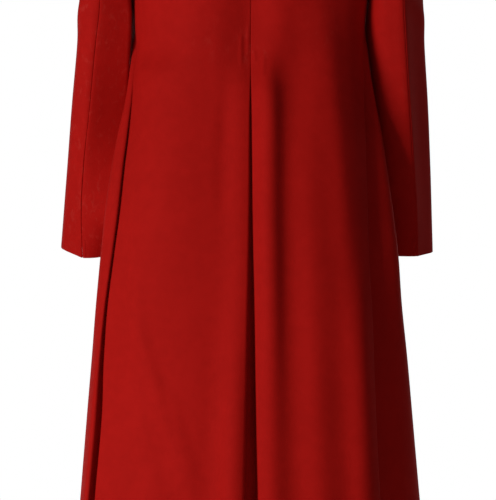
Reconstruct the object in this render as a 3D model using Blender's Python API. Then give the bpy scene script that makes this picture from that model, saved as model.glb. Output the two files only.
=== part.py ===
"""A worn cassock, built as walls of cloth lofted through the sections of its cut.

Units are metres. The wearer faces -Y, +X is the wearer's left and +Z is up. The origin lies on the
body's centre line, level with the points where the shoulder seams meet the neck. Heights are given
as drops below it. Each panel is worked out for the wearer's left and mirrored for the right, with
each side's own sections, and its columns run clockwise seen from above, from back to front.
"""
import math

import bmesh
import bpy
import numpy as np
from mathutils import Matrix, Vector

# ---- cloth ----
CLOTH = 0.0013              # thickness of the cloth
SEAM_GAP = 0.0004           # clear space between two pieces at a seam
LAYER_GAP = 0.0009          # clear space between two layers of a pleat
UNDERLAY_GAP = 0.0022       # clear space behind the centre pleat's edges
TURN_RADIUS = 0.0024        # turn of the cloth at a pleat's edge, to its middle
SCARLET = "9C1313"
SCARLET_BUTTON = "8A1010"

# ---- neck, shoulders and lap ----
NECK_HALF_WIDTH = 0.068
NECK_BACK_Y = 0.058
NECK_FRONT_Y = -0.066
NECK_BACK_RISE = 0.010      # height of the neck seam at the centre back
NECK_FRONT_DROP = 0.066     # drop of the neck seam at the centre front
SHOULDER_TIP = (0.196, 0.004, -0.050)
LAP_REACH = 0.022           # each front runs this far past the centre line
LAP_STEP_X = 0.050          # the under front starts to step in here, this far from the centre
LAP_STEP = CLOTH + 0.0017   # and lies this much deeper under the other's lap

# ---- rows of a panel ----
UNDERARM = 5.0              # stations count from 0 at the shoulder seam to this at the armpit
YOKE_STATIONS = (0.0, 0.65, 1.3, 1.9, 2.5, 3.15, 3.8, 4.4)
STATION_LENGTH = 0.035      # height of one station, below the armpit
DROPS = (0.196, 0.226, 0.262, 0.305, 0.335, 0.350, 0.380, 0.392, 0.420, 0.455, 0.500, 0.545,
         0.605, 0.680, 0.755, 0.830, 0.905, 0.985, 1.070, 1.160, 1.250, 1.340, 1.425)
CENTRE_PLEAT_TOP = 0.392
UNDERLAY_TOP = 0.380        # the underlay starts a little above the pleat it backs
SIDE_PLEAT_TOP = {"left": 0.380, "right": 0.350}
STRIP_TOP = {"left": 0.350, "right": 0.335}         # and so does the front's side extension

# ---- columns of a panel ----
BACK_COLUMNS = 16
BACK_NECK_COLUMNS = 6       # of the back's columns, those that end at the neck
BACK_CROWDING = 1.25        # above 1 sets the columns closer at the centre back
FRONT_COLUMNS = 12
FRONT_SHOULDER_COLUMNS = 7
TURN_COLUMNS = 4
PLEAT_COLUMNS = 4
EXTENSION_COLUMNS = 3
STRIP_COLUMNS = 3
UNDERLAY_GAP_COLUMNS = 2
FINE = 81                   # points on a row before its columns are picked

# ---- buttons ----
BUTTON_COUNT = 22
BUTTON_SPACING = 0.055
FIRST_BUTTON_DROP = 0.082
BUTTON_RADIUS = 0.0068
BUTTON_RIM = 0.0016
BUTTON_HEIGHT = 0.0042
BUTTON_SIDES = 10

# ---- collar ----
COLLAR_HEIGHT = 0.040
COLLAR_LEAN = 0.004         # the band's top edge is this much nearer the neck
COLLAR_CLEARANCE = 0.0014   # the band's lower edge above the middle of the neck edge
COLLAR_END_X = 0.006        # each end from the centre line at the neck
COLLAR_END_SLANT = 0.004    # and this much farther at the top
COLLAR_ROWS = 3


def table(columns, *rows):
    """Give each column of a table of sections its name."""
    return {name: np.array(values) for name, values in zip(columns.split(), zip(*rows))}


# The trunk's profile at the centre back and centre front, and how the front is rounded.
TRUNK = table(
    "drop back_y front_y side_reach front_fullness",
    (0.196, 0.115, -0.126, 0.070, 0.62),
    (0.250, 0.110, -0.127, 0.070, 0.63),
    (0.305, 0.101, -0.125, 0.070, 0.64),
    (0.350, 0.097, -0.122, 0.065, 0.66),
    (0.392, 0.098, -0.122, 0.050, 0.71),
    (0.455, 0.108, -0.125, 0.030, 0.80),
    (0.545, 0.123, -0.131, 0.021, 0.82),
    (0.605, 0.131, -0.135, 0.020, 0.80),
    (0.680, 0.141, -0.141, 0.020, 0.79),
    (0.755, 0.150, -0.148, 0.022, 0.79),
    (0.905, 0.168, -0.165, 0.030, 0.78),
    (1.055, 0.187, -0.183, 0.042, 0.76),
    (1.425, 0.232, -0.222, 0.070, 0.72),
)

# Each side: the back panel's edge with the way it heads there, and the outline of the side pleat.
SIDES = {
    "left": table(
        "drop fold_x fold_y turn outer_x outer_y",
        (0.196, 0.1760, -0.002, 90.0, 0.1760, -0.002),
        (0.250, 0.1745, 0.000, 90.0, 0.1745, 0.000),
        (0.305, 0.1735, 0.000, 90.0, 0.1735, 0.000),
        (0.350, 0.1710, 0.004, 88.0, 0.1714, 0.001),
        (0.380, 0.1685, 0.010, 85.0, 0.1755, 0.000),
        (0.410, 0.1715, 0.030, 75.0, 0.1790, 0.015),
        (0.455, 0.1740, 0.046, 66.0, 0.1857, 0.030),
        (0.500, 0.1775, 0.060, 60.0, 0.1960, 0.040),
        (0.545, 0.1830, 0.070, 56.0, 0.2048, 0.046),
        (0.605, 0.1895, 0.080, 52.0, 0.2145, 0.051),
        (0.680, 0.2000, 0.089, 50.0, 0.2223, 0.055),
        (0.755, 0.2095, 0.096, 48.0, 0.2290, 0.055),
        (0.830, 0.2140, 0.105, 46.0, 0.2350, 0.055),
        (0.905, 0.2155, 0.116, 44.0, 0.2420, 0.055),
        (1.055, 0.2260, 0.133, 42.0, 0.2550, 0.053),
        (1.425, 0.2500, 0.165, 40.0, 0.2850, 0.050),
    ),
    "right": table(
        "drop fold_x fold_y turn outer_x outer_y",
        (0.196, 0.1760, -0.002, 90.0, 0.1760, -0.002),
        (0.250, 0.1745, 0.000, 90.0, 0.1745, 0.000),
        (0.305, 0.1725, 0.002, 88.0, 0.1725, 0.002),
        (0.335, 0.1695, 0.005, 87.0, 0.1700, 0.002),
        (0.350, 0.1680, 0.010, 85.0, 0.1700, 0.000),
        (0.380, 0.1665, 0.028, 74.0, 0.1735, 0.012),
        (0.410, 0.1663, 0.043, 66.0, 0.1770, 0.022),
        (0.455, 0.1658, 0.058, 60.0, 0.1847, 0.033),
        (0.500, 0.1673, 0.070, 56.0, 0.1932, 0.041),
        (0.545, 0.1680, 0.080, 52.0, 0.1998, 0.046),
        (0.605, 0.1695, 0.092, 48.0, 0.2086, 0.051),
        (0.680, 0.1710, 0.105, 44.0, 0.2183, 0.055),
        (0.755, 0.1745, 0.114, 42.0, 0.2242, 0.055),
        (0.830, 0.1760, 0.124, 40.0, 0.2320, 0.055),
        (0.905, 0.1785, 0.133, 38.0, 0.2390, 0.055),
        (1.055, 0.1855, 0.152, 36.0, 0.2530, 0.053),
        (1.425, 0.2090, 0.190, 35.0, 0.2850, 0.050),
    ),
}

# Above the armpit: where each row starts at the centre, and where it ends on the armhole.
BACK_YOKE = table(
    "station centre_y centre_drop edge_x edge_y edge_drop turn",
    (1.0, 0.077, 0.028, 0.190, 0.026, 0.078, 25.0),
    (2.0, 0.096, 0.070, 0.183, 0.048, 0.110, 42.0),
    (3.0, 0.108, 0.114, 0.179, 0.058, 0.146, 55.0),
    (4.0, 0.114, 0.157, 0.177, 0.040, 0.178, 72.0),
)
FRONT_YOKE = table(
    "station centre_y centre_drop edge_x edge_y edge_drop turn",
    (1.0, -0.083, 0.090, 0.184, -0.022, 0.080, 20.0),
    (2.0, -0.100, 0.117, 0.173, -0.044, 0.112, 35.0),
    (3.0, -0.113, 0.145, 0.169, -0.055, 0.148, 52.0),
    (4.0, -0.122, 0.172, 0.174, -0.040, 0.180, 75.0),
)

# The centre pleat: half the space between its edges, and how deep it is turned in.
CENTRE_PLEAT = table(
    "drop half_gap depth",
    (0.392, 0.0005, 0.020),
    (0.455, 0.0014, 0.026),
    (0.605, 0.0020, 0.036),
    (0.755, 0.0042, 0.044),
    (0.905, 0.0065, 0.052),
    (1.055, 0.0090, 0.058),
    (1.425, 0.0140, 0.068),
)
SIDE_PLEAT_DEPTH = table(
    "drop depth",
    (0.350, 0.012),
    (0.605, 0.026),
    (0.905, 0.038),
    (1.425, 0.050),
)

# Soft folds: the distance of each from the panel's first edge at the waist and at the hem, its
# width there, and how far it stands out there.
FOLDS = {
    "back_left": table(
        "at_waist at_hem width_waist width_hem height_waist height_hem",
        (0.018, 0.030, 0.012, 0.024, 0.0020, 0.0120),
        (0.175, 0.085, 0.022, 0.030, 0.0000, 0.0100),
        (0.190, 0.175, 0.020, 0.030, 0.0000, 0.0100),
    ),
    "back_right": table(
        "at_waist at_hem width_waist width_hem height_waist height_hem",
        (0.013, 0.024, 0.010, 0.019, 0.0045, 0.0130),
        (0.075, 0.100, 0.022, 0.032, 0.0015, 0.0110),
        (0.150, 0.180, 0.022, 0.030, 0.0000, 0.0080),
    ),
    "front_left": table(
        "at_waist at_hem width_waist width_hem height_waist height_hem",
        (0.060, 0.110, 0.020, 0.035, 0.0000, 0.0130),
        (0.130, 0.230, 0.020, 0.035, 0.0000, 0.0110),
    ),
    "front_right": table(
        "at_waist at_hem width_waist width_hem height_waist height_hem",
        (0.070, 0.125, 0.020, 0.035, 0.0000, 0.0120),
        (0.125, 0.235, 0.020, 0.035, 0.0000, 0.0120),
    ),
}
FOLD_TOP = 0.380
FOLD_FOOT = 1.425

# Rings of a sleeve by length along the arm: the outer and inner side of each, its middle from
# front to back, half its depth, and how far its back lies outside its middle. Ring 0 is the armhole.
SLEEVES = {
    "left": table(
        "along outer_x outer_drop inner_x inner_drop middle_y half_depth skew",
        (0.030, 0.2225, 0.064, 0.1785, 0.216, 0.001, 0.075, 0.000),
        (0.065, 0.2385, 0.098, 0.1785, 0.232, 0.000, 0.074, 0.002),
        (0.125, 0.2475, 0.160, 0.1780, 0.256, -0.003, 0.070, 0.006),
        (0.190, 0.2535, 0.228, 0.1750, 0.290, -0.008, 0.066, 0.011),
        (0.265, 0.2570, 0.304, 0.1715, 0.330, -0.014, 0.063, 0.015),
        (0.325, 0.2610, 0.364, 0.1705, 0.376, -0.022, 0.061, 0.017),
        (0.415, 0.2700, 0.454, 0.1760, 0.461, -0.037, 0.060, 0.018),
        (0.505, 0.2770, 0.544, 0.1860, 0.551, -0.054, 0.058, 0.016),
        (0.585, 0.2850, 0.622, 0.1960, 0.636, -0.069, 0.057, 0.014),
        (0.640, 0.2890, 0.682, 0.2040, 0.702, -0.080, 0.056, 0.012),
    ),
    "right": table(
        "along outer_x outer_drop inner_x inner_drop middle_y half_depth skew",
        (0.030, 0.2225, 0.064, 0.1785, 0.216, 0.001, 0.075, 0.000),
        (0.065, 0.2385, 0.098, 0.1785, 0.232, 0.000, 0.074, 0.002),
        (0.125, 0.2475, 0.160, 0.1785, 0.256, -0.003, 0.070, 0.006),
        (0.190, 0.2530, 0.228, 0.1760, 0.290, -0.008, 0.066, 0.011),
        (0.265, 0.2565, 0.304, 0.1725, 0.330, -0.014, 0.063, 0.015),
        (0.325, 0.2600, 0.364, 0.1715, 0.376, -0.022, 0.061, 0.017),
        (0.415, 0.2665, 0.454, 0.1760, 0.461, -0.037, 0.060, 0.018),
        (0.505, 0.2715, 0.544, 0.1840, 0.551, -0.054, 0.058, 0.016),
        (0.585, 0.2755, 0.625, 0.1925, 0.630, -0.069, 0.057, 0.014),
        (0.640, 0.2780, 0.690, 0.1975, 0.692, -0.080, 0.056, 0.012),
    ),
}
SLEEVE_ROWS = 18
SLEEVE_CROWDING = 1.15              # above 1 sets the rows closer at the sleeve head
ARMHOLE_CLEARANCE_TOP = 0.0006      # sleeve head from the panel's edge at the shoulder
ARMHOLE_CLEARANCE_FOOT = 0.0024     # and at the armpit
BACK_SEAM_STATION = 2.5
FRONT_SEAM_STATION = 3.15


def smooth(stations, values, at):
    """Read a smooth curve through values at rising stations: cubic pieces with averaged slopes."""
    stations = np.asarray(stations, dtype=float)
    values = np.asarray(values, dtype=float)
    at = np.asarray(at, dtype=float)
    slopes = np.gradient(values, stations, axis=0)
    first = np.clip(np.searchsorted(stations, at, side="right") - 1, 0, len(stations) - 2)
    width = stations[first + 1] - stations[first]
    t = np.clip((at - stations[first]) / width, 0.0, 1.0)
    shape = t.shape + (1,) * (values.ndim - 1)
    t, width = t.reshape(shape), width.reshape(shape)
    start = (1 + 2 * t) * (1 - t) ** 2 * values[first] + t * (1 - t) ** 2 * width * slopes[first]
    end = t ** 2 * (3 - 2 * t) * values[first + 1] - t ** 2 * (1 - t) * width * slopes[first + 1]
    return start + end


def read(sections, column, at):
    """Read one column of a table of sections at other drops."""
    return smooth(sections["drop"], sections[column], at)


def points(x, y, z):
    """Stack three arrays, or numbers, as points."""
    return np.stack(np.broadcast_arrays(x, y, z), axis=-1).astype(float)


def bezier(controls, samples):
    """Points at samples from 0 to 1 on cubic curves, given by four arrays of control points."""
    t = np.asarray(samples)[None, :, None]
    a, b, c, d = (control[:, None, :] for control in controls)
    return (1 - t) ** 3 * a + 3 * (1 - t) ** 2 * t * b + 3 * (1 - t) * t ** 2 * c + t ** 3 * d


def outward(rows):
    """Level normals of rows that run clockwise seen from above."""
    step = np.gradient(rows, axis=1)
    normal = points(-step[..., 1], step[..., 0], 0.0)
    return normal / np.linalg.norm(normal, axis=-1, keepdims=True)


def travelled(rows):
    """Distance along each row from its first point."""
    steps = np.linalg.norm(np.diff(rows, axis=1), axis=-1)
    return np.concatenate([np.zeros((len(rows), 1)), np.cumsum(steps, axis=1)], axis=1)


def pick(rows, distances, values=None):
    """Values (the points themselves when none are given) at distances along each row."""
    values = rows if values is None else values
    lengths = travelled(rows)
    distances = np.broadcast_to(distances, (len(rows), np.shape(distances)[-1]))
    return np.stack([
        np.stack([np.interp(distance, length, value[:, axis]) for axis in range(3)], axis=-1)
        for distance, length, value in zip(distances, lengths, values)
    ])


def with_folds(rows, drops, folds):
    """Push rows outward into their soft folds, each a bell-shaped ridge that grows to the hem."""
    lengths = travelled(rows)
    grown = np.clip((drops - FOLD_TOP) / (FOLD_FOOT - FOLD_TOP), 0.0, 1.0)[:, None]
    height = np.zeros_like(lengths)
    for i in range(len(folds["at_hem"])):
        centre, width, top = (
            folds[name + "_waist"][i] * (1 - grown) + folds[name + "_hem"][i] * grown
            for name in ("at", "width", "height")
        )
        height += top * np.exp(-((lengths - centre) / width) ** 2)
    height *= (drops[:, None] > FOLD_TOP)
    return rows + outward(rows) * height[..., None]


def turned_edge(edge, heading, normal):
    """Columns of the half circle by which cloth turns in under itself at a pleat's edge."""
    angle = np.linspace(0.0, math.pi, TURN_COLUMNS + 1)[1:]
    ahead = TURN_RADIUS * np.sin(angle)[None, :, None]
    inside = TURN_RADIUS * (1 - np.cos(angle))[None, :, None]
    return edge[:, None, :] + heading[:, None, :] * ahead - normal[:, None, :] * inside


def neck_point(angle):
    """Neck seam at an angle from the centre back, 90 degrees being the shoulder seam."""
    forward = np.cos(angle) < 0
    depth = np.where(forward, -NECK_FRONT_Y, NECK_BACK_Y)
    height = np.where(forward, -NECK_FRONT_DROP, NECK_BACK_RISE) * np.cos(angle) ** 2
    return points(NECK_HALF_WIDTH * np.sin(angle), depth * np.cos(angle), height)


def neck_angle(x):
    """Angle of the neck seam's point at a distance x from the centre front."""
    return math.pi - math.asin(x / NECK_HALF_WIDTH)


def draw_in(surface, line, neighbour):
    """Move one edge of a surface half a seam's gap toward its neighbouring line of points."""
    step = surface[neighbour] - surface[line]
    surface[line] += step / np.linalg.norm(step, axis=-1, keepdims=True) * SEAM_GAP / 2


def surface_normals(surface):
    """Outward normals of a grid of points whose columns run clockwise and rows run down."""
    across = np.gradient(surface, axis=1)
    down = np.gradient(surface, axis=0)
    normals = np.cross(across, down)
    return normals / np.linalg.norm(normals, axis=-1, keepdims=True)


def whole(surface):
    """A piece with all its cells, and normals of its own."""
    cells = np.ones((surface.shape[0] - 1, surface.shape[1] - 1), dtype=bool)
    return surface, cells, None


def shoulder_normal():
    """The direction in which both panels are thick at the shoulder seam."""
    seam = np.array(SHOULDER_TIP) - neck_point(np.array(math.pi / 2))
    seam /= np.linalg.norm(seam)
    up = np.array([0.0, 0.0, 1.0])
    normal = up - seam * seam[2]
    return normal / np.linalg.norm(normal)


def stations_of(drops):
    """Stations of rows below the armpit, counted on from it."""
    return UNDERARM + (np.asarray(drops) - DROPS[0]) / STATION_LENGTH


def loft_yoke(top, yoke_rows, yoke_stations, lower):
    """Rows from the shoulder to above the armpit, smooth through the yoke's and the lower rows."""
    levels = np.concatenate([top[None], yoke_rows, lower])
    stations = np.concatenate([[0.0], yoke_stations, stations_of(DROPS)])
    return smooth(stations, levels, YOKE_STATIONS)


def back_rows(side):
    """The back panel's outer layer, on fine rows: the yoke's sections and the rows below them."""
    drops = np.array(DROPS)
    sections = SIDES[side]
    back_y = read(TRUNK, "back_y", drops)
    pleated = drops >= CENTRE_PLEAT_TOP
    first_x = np.where(
        pleated,
        read(CENTRE_PLEAT, "half_gap", drops) + TURN_RADIUS + CLOTH / 2,
        SEAM_GAP / 2,
    )
    fold_x, fold_y = read(sections, "fold_x", drops), read(sections, "fold_y", drops)
    turn = np.radians(read(sections, "turn", drops))
    reach = 0.40 * fold_x
    controls = [
        points(first_x, back_y, -drops),
        points(0.45 * fold_x, back_y, -drops),
        points(fold_x - reach * np.cos(turn), fold_y + reach * np.sin(turn), -drops),
        points(fold_x, fold_y, -drops),
    ]
    lower = with_folds(bezier(controls, np.linspace(0, 1, FINE)), drops, FOLDS["back_" + side])
    return lower, yoke_curves(BACK_YOKE, 1.0)


def yoke_curves(yoke, backward):
    """Rows of a yoke from the centre to the armhole, on fine points; backward is 1 or -1."""
    turn = np.radians(yoke["turn"])
    edge_x, edge_y, edge_drop = yoke["edge_x"], yoke["edge_y"], yoke["edge_drop"]
    reach = 0.40 * edge_x
    drop_near_edge = edge_drop + 0.35 * (yoke["centre_drop"] - edge_drop)
    controls = [
        points(SEAM_GAP / 2, yoke["centre_y"], -yoke["centre_drop"]),
        points(0.45 * edge_x, yoke["centre_y"], -yoke["centre_drop"]),
        points(edge_x - reach * np.cos(turn), edge_y + backward * reach * np.sin(turn),
               -drop_near_edge),
        points(edge_x, edge_y, -edge_drop),
    ]
    return bezier(controls, np.linspace(0, 1, FINE))


def back_panel(side):
    """Points and cells of a back panel, with its share of the centre pleat and the side pleat."""
    drops = np.array(DROPS)
    fine, yoke_fine = back_rows(side)
    shares = np.linspace(0, 1, BACK_COLUMNS + 1) ** BACK_CROWDING
    main = pick(fine, shares * travelled(fine)[:, -1:])
    yoke = pick(yoke_fine, shares * travelled(yoke_fine)[:, -1:])
    neck = neck_point(np.linspace(0, math.pi / 2, BACK_NECK_COLUMNS + 1))
    neck[0, 0] = SEAM_GAP / 2
    share = np.linspace(0, 1, BACK_COLUMNS - BACK_NECK_COLUMNS + 1)[1:, None]
    shoulder = neck[-1] + (np.array(SHOULDER_TIP) - neck[-1]) * share
    upper = loft_yoke(np.concatenate([neck, shoulder]), yoke, BACK_YOKE["station"], main)
    main = np.concatenate([upper, main])
    draw_in(main, (0, slice(BACK_NECK_COLUMNS, None)), (1, slice(BACK_NECK_COLUMNS, None)))
    armhole = len(YOKE_STATIONS)
    seamed = row_of(SIDE_PLEAT_TOP[side])
    draw_in(main, (slice(armhole, seamed), -1), (slice(armhole, seamed), -2))

    centre = pleat_layers(fine, read(CENTRE_PLEAT, "depth", drops), at_start=True)
    aside = pleat_layers(fine, read(SIDE_PLEAT_DEPTH, "depth", drops), at_start=False)
    blank = np.zeros((len(YOKE_STATIONS), centre.shape[1], 3))
    surface = np.concatenate([
        np.concatenate([blank, centre])[:, ::-1],
        main,
        np.concatenate([blank, aside]),
    ], axis=1)
    cells = np.ones((surface.shape[0] - 1, surface.shape[1] - 1), dtype=bool)
    cells[:row_of(CENTRE_PLEAT_TOP), :centre.shape[1]] = False
    cells[:row_of(SIDE_PLEAT_TOP[side]), -aside.shape[1]:] = False
    normals = np.zeros_like(surface)
    first = centre.shape[1] + BACK_NECK_COLUMNS
    normals[0, first:first + share.shape[0] + 1] = shoulder_normal()
    return surface, cells, normals


def row_of(drop):
    """Index of the panel row at a drop."""
    return len(YOKE_STATIONS) + DROPS.index(drop)


def pleat_layers(fine, depth, at_start):
    """The turned edge and the layer under it, at a row's start or end, from the edge inward."""
    normals = outward(fine)
    edge = 0 if at_start else -1
    inward = fine[:, 1] - fine[:, 0] if at_start else fine[:, -2] - fine[:, -1]
    inward = inward / np.linalg.norm(inward, axis=-1, keepdims=True)
    turn = turned_edge(fine[:, edge], -inward, normals[:, edge])
    steps = np.linspace(0, 1, PLEAT_COLUMNS + 1)[1:] * depth[:, None]
    distances = steps if at_start else travelled(fine)[:, -1:] - steps
    under = pick(fine, distances) - pick(fine, distances, normals) * 2 * TURN_RADIUS
    return np.concatenate([turn, under], axis=1)


def front_panel(side):
    """Points and cells of a front panel, from under the back panel round to the lap."""
    drops = np.array(DROPS)
    sections = SIDES[side]
    fine_back, _ = back_rows(side)
    normals = outward(fine_back)
    depth = read(SIDE_PLEAT_DEPTH, "depth", drops)[:, None]
    steps = np.linspace(1, 0, EXTENSION_COLUMNS + 1)[:-1]
    distances = travelled(fine_back)[:, -1:] - steps * depth
    below = 2 * TURN_RADIUS + CLOTH + LAYER_GAP
    seamed_below = 2 * TURN_RADIUS + CLOTH + SEAM_GAP
    sink = (seamed_below * steps + below * (1 - steps))[None, :, None]
    extension = pick(fine_back, distances) - pick(fine_back, distances, normals) * sink

    outer_x, outer_y = read(sections, "outer_x", drops), read(sections, "outer_y", drops)
    start = fine_back[:, -1] - normals[:, -1] * below
    heading = fine_back[:, -1] - fine_back[:, -2]
    heading /= np.linalg.norm(heading, axis=-1, keepdims=True)
    outline = points(outer_x, outer_y, -drops)
    span = np.linalg.norm(outline - start, axis=-1, keepdims=True)
    strip = bezier(
        [start, start + heading * span * 0.42, outline + span * np.array([0.0, 0.25, 0.0]), outline],
        np.linspace(0, 1, STRIP_COLUMNS + 1),
    )[:, :-1]

    front_y = read(TRUNK, "front_y", drops)
    fullness = read(TRUNK, "front_fullness", drops) * outer_x
    controls = [
        outline,
        points(outer_x, outer_y - read(TRUNK, "side_reach", drops), -drops),
        points(fullness, front_y, -drops),
        points(LAP_STEP_X, front_y, -drops),
    ]
    fine = with_folds(bezier(controls, np.linspace(0, 1, FINE)), drops, FOLDS["front_" + side])
    shares = np.linspace(0, 1, FRONT_COLUMNS + 1)
    main = pick(fine, shares * travelled(fine)[:, -1:])
    lap_x = np.array([LAP_REACH, 0.0, -LAP_REACH])
    lap = points(lap_x[None, :], front_y[:, None], -drops[:, None])
    lower = np.concatenate([main, lap], axis=1)

    yoke_fine = yoke_curves(FRONT_YOKE, -1.0)[:, ::-1]
    lengths = travelled(yoke_fine)
    to_lap = lengths[:, -1:] - LAP_STEP_X
    yoke = pick(yoke_fine, shares * to_lap)
    yoke_lap = points(lap_x[None, :], FRONT_YOKE["centre_y"][:, None],
                      -FRONT_YOKE["centre_drop"][:, None])
    top = front_top(lap_x)
    upper = loft_yoke(top, np.concatenate([yoke, yoke_lap], axis=1), FRONT_YOKE["station"], lower)
    main = np.concatenate([upper, lower])
    if side == "right":
        main[:, -len(lap_x):, 1] += LAP_STEP
    shoulder = slice(0, FRONT_SHOULDER_COLUMNS + 1)
    draw_in(main, (0, shoulder), (1, shoulder))
    armhole = len(YOKE_STATIONS)
    seamed = row_of(STRIP_TOP[side])
    draw_in(main, (slice(armhole, seamed), 0), (slice(armhole, seamed), 1))

    blank = np.zeros((len(YOKE_STATIONS), extension.shape[1] + strip.shape[1], 3))
    aside = np.concatenate([blank, np.concatenate([extension, strip], axis=1)])
    surface = np.concatenate([aside, main], axis=1)
    cells = np.ones((surface.shape[0] - 1, surface.shape[1] - 1), dtype=bool)
    cells[:seamed, :aside.shape[1]] = False
    normals = np.zeros_like(surface)
    first = aside.shape[1]
    normals[0, first:first + FRONT_SHOULDER_COLUMNS + 1] = shoulder_normal()
    return surface, cells, normals


def front_top(lap_x):
    """Top edge of a front panel: the shoulder seam from its tip, then the neck to the lap."""
    share = np.linspace(0, 1, FRONT_SHOULDER_COLUMNS + 1)[:-1, None]
    neck_side = neck_point(np.array(math.pi / 2))
    shoulder = np.array(SHOULDER_TIP) * (1 - share) + neck_side * share
    to_lap = np.linspace(math.pi / 2, neck_angle(LAP_STEP_X),
                         FRONT_COLUMNS - FRONT_SHOULDER_COLUMNS + 1)
    lap = np.array([neck_angle(x) for x in lap_x])
    return np.concatenate([shoulder, neck_point(np.concatenate([to_lap, lap]))])


def underlay():
    """Points and cells of the strip behind the centre pleat, from the wearer's right to left."""
    drops = np.array(DROPS)
    kept = drops >= UNDERLAY_TOP
    depth = read(CENTRE_PLEAT, "depth", drops)[:, None]
    steps = np.linspace(1, 0, PLEAT_COLUMNS + 1)
    below = 2 * TURN_RADIUS + CLOTH + UNDERLAY_GAP
    seamed_below = 2 * TURN_RADIUS + CLOTH + SEAM_GAP
    sink = (seamed_below * steps + below * (1 - steps))[None, :, None]
    halves = []
    for side in ("right", "left"):
        fine, _ = back_rows(side)
        layer = pick(fine, steps * depth) - pick(fine, steps * depth, outward(fine)) * sink
        halves.append(layer)
    right, left = halves
    right[..., 0] *= -1
    share = np.linspace(0, 1, UNDERLAY_GAP_COLUMNS + 1)[1:-1][None, :, None]
    between = right[:, -1:] * (1 - share) + left[:, -1:] * share
    return whole(np.concatenate([right, between, left[:, ::-1]], axis=1)[kept])


def armhole_ring(yoke, stations):
    """Points of the armhole on one panel's edge, moved out to where the sleeve starts."""
    tip = np.array(SHOULDER_TIP)
    foot_section = SIDES["left"]
    foot = np.array([foot_section["fold_x"][0], foot_section["fold_y"][0], -DROPS[0]])
    edge = np.concatenate([[tip], points(yoke["edge_x"], yoke["edge_y"], -yoke["edge_drop"]), [foot]])
    ring = smooth(np.arange(len(edge)), edge, stations)
    share = np.asarray(stations) / UNDERARM
    clearance = ARMHOLE_CLEARANCE_TOP * (1 - share) + ARMHOLE_CLEARANCE_FOOT * share
    ring[:, 0] += clearance
    return ring


def sleeve(side):
    """Points of a whole sleeve with its normals; its columns follow the armhole's stations.

    They run from the outer side round the front and the armpit to the back, and the angle of a
    column round each ring is its share of the way round.
    """
    stations = np.array(YOKE_STATIONS + (UNDERARM,))
    front = armhole_ring(FRONT_YOKE, stations)
    back = armhole_ring(BACK_YOKE, stations[::-1])
    armhole = np.concatenate([front, back[1:]])
    angles = math.pi * np.concatenate([-stations, stations[-2::-1] - 2 * UNDERARM]) / UNDERARM
    rings = {name: values[:, None] for name, values in SLEEVES[side].items()}
    half_width = (rings["outer_x"] - rings["inner_x"]) / 2
    across = np.sqrt(half_width ** 2 - rings["skew"] ** 2)
    cosine, sine = np.cos(angles)[None, :], np.sin(angles)[None, :]
    levels = points(
        (rings["outer_x"] + rings["inner_x"]) / 2 + across * cosine + rings["skew"] * sine,
        rings["middle_y"] + rings["half_depth"] * sine,
        -(rings["outer_drop"] + rings["inner_drop"]) / 2
        - (rings["outer_drop"] - rings["inner_drop"]) / 2 * cosine,
    )
    lengths = np.concatenate([[0.0], SLEEVES[side]["along"]])
    rows = lengths[-1] * np.linspace(0, 1, SLEEVE_ROWS) ** SLEEVE_CROWDING
    surface = smooth(lengths, np.concatenate([armhole[None], levels]), rows)
    wrapped = np.concatenate([surface[:, -2:-1], surface, surface[:, 1:2]], axis=1)
    return surface, surface_normals(wrapped)[:, 1:-1]


def sleeve_halves(side):
    """The upper and the under sleeve: points, cells and normals of each."""
    surface, normals = sleeve(side)
    stations = YOKE_STATIONS + (UNDERARM,)
    front_seam = stations.index(FRONT_SEAM_STATION)
    back_seam = surface.shape[1] - 1 - stations.index(BACK_SEAM_STATION)
    upper = list(range(back_seam, surface.shape[1] - 1)) + list(range(front_seam + 1))
    under = list(range(front_seam, back_seam + 1))
    halves = []
    for columns in (upper, under):
        half = surface[:, columns]
        draw_in(half, (slice(None), 0), (slice(None), 1))
        draw_in(half, (slice(None), -1), (slice(None), -2))
        halves.append(whole(half)[:2] + (normals[:, columns],))
    return halves


def collar():
    """Points and cells of the standing band, from one end round the back to the other."""
    angles = np.concatenate([
        np.linspace(0, math.pi / 2, BACK_NECK_COLUMNS + 1),
        np.linspace(math.pi / 2, neck_angle(LAP_STEP_X),
                    FRONT_COLUMNS - FRONT_SHOULDER_COLUMNS + 1)[1:],
        [neck_angle(LAP_REACH), math.pi],
    ])
    half = neck_point(angles)
    inward = points(-np.sin(angles), -np.cos(angles), 0.0)
    rows = []
    for share in np.linspace(1, 0, COLLAR_ROWS):
        lifted = half + inward * COLLAR_LEAN * share
        lifted[:, 2] += COLLAR_CLEARANCE + COLLAR_HEIGHT * share
        end_x = COLLAR_END_X + COLLAR_END_SLANT * share
        lifted[-1] += (lifted[-2] - lifted[-1]) * end_x / LAP_REACH
        mirrored = lifted[:0:-1] * np.array([-1.0, 1.0, 1.0])
        rows.append(np.concatenate([mirrored, lifted]))
    return whole(np.stack(rows))


def cell_normals(flat, triangles):
    """Normals at the points of triangles, each the sum of its triangles' normals."""
    a, b, c = (flat[triangles[:, i]] for i in range(3))
    across = np.cross(b - a, c - a)
    normals = np.zeros_like(flat)
    for i in range(3):
        np.add.at(normals, triangles[:, i], across)
    size = np.linalg.norm(normals, axis=1, keepdims=True)
    return normals / np.where(size > 0, size, 1.0)


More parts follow.
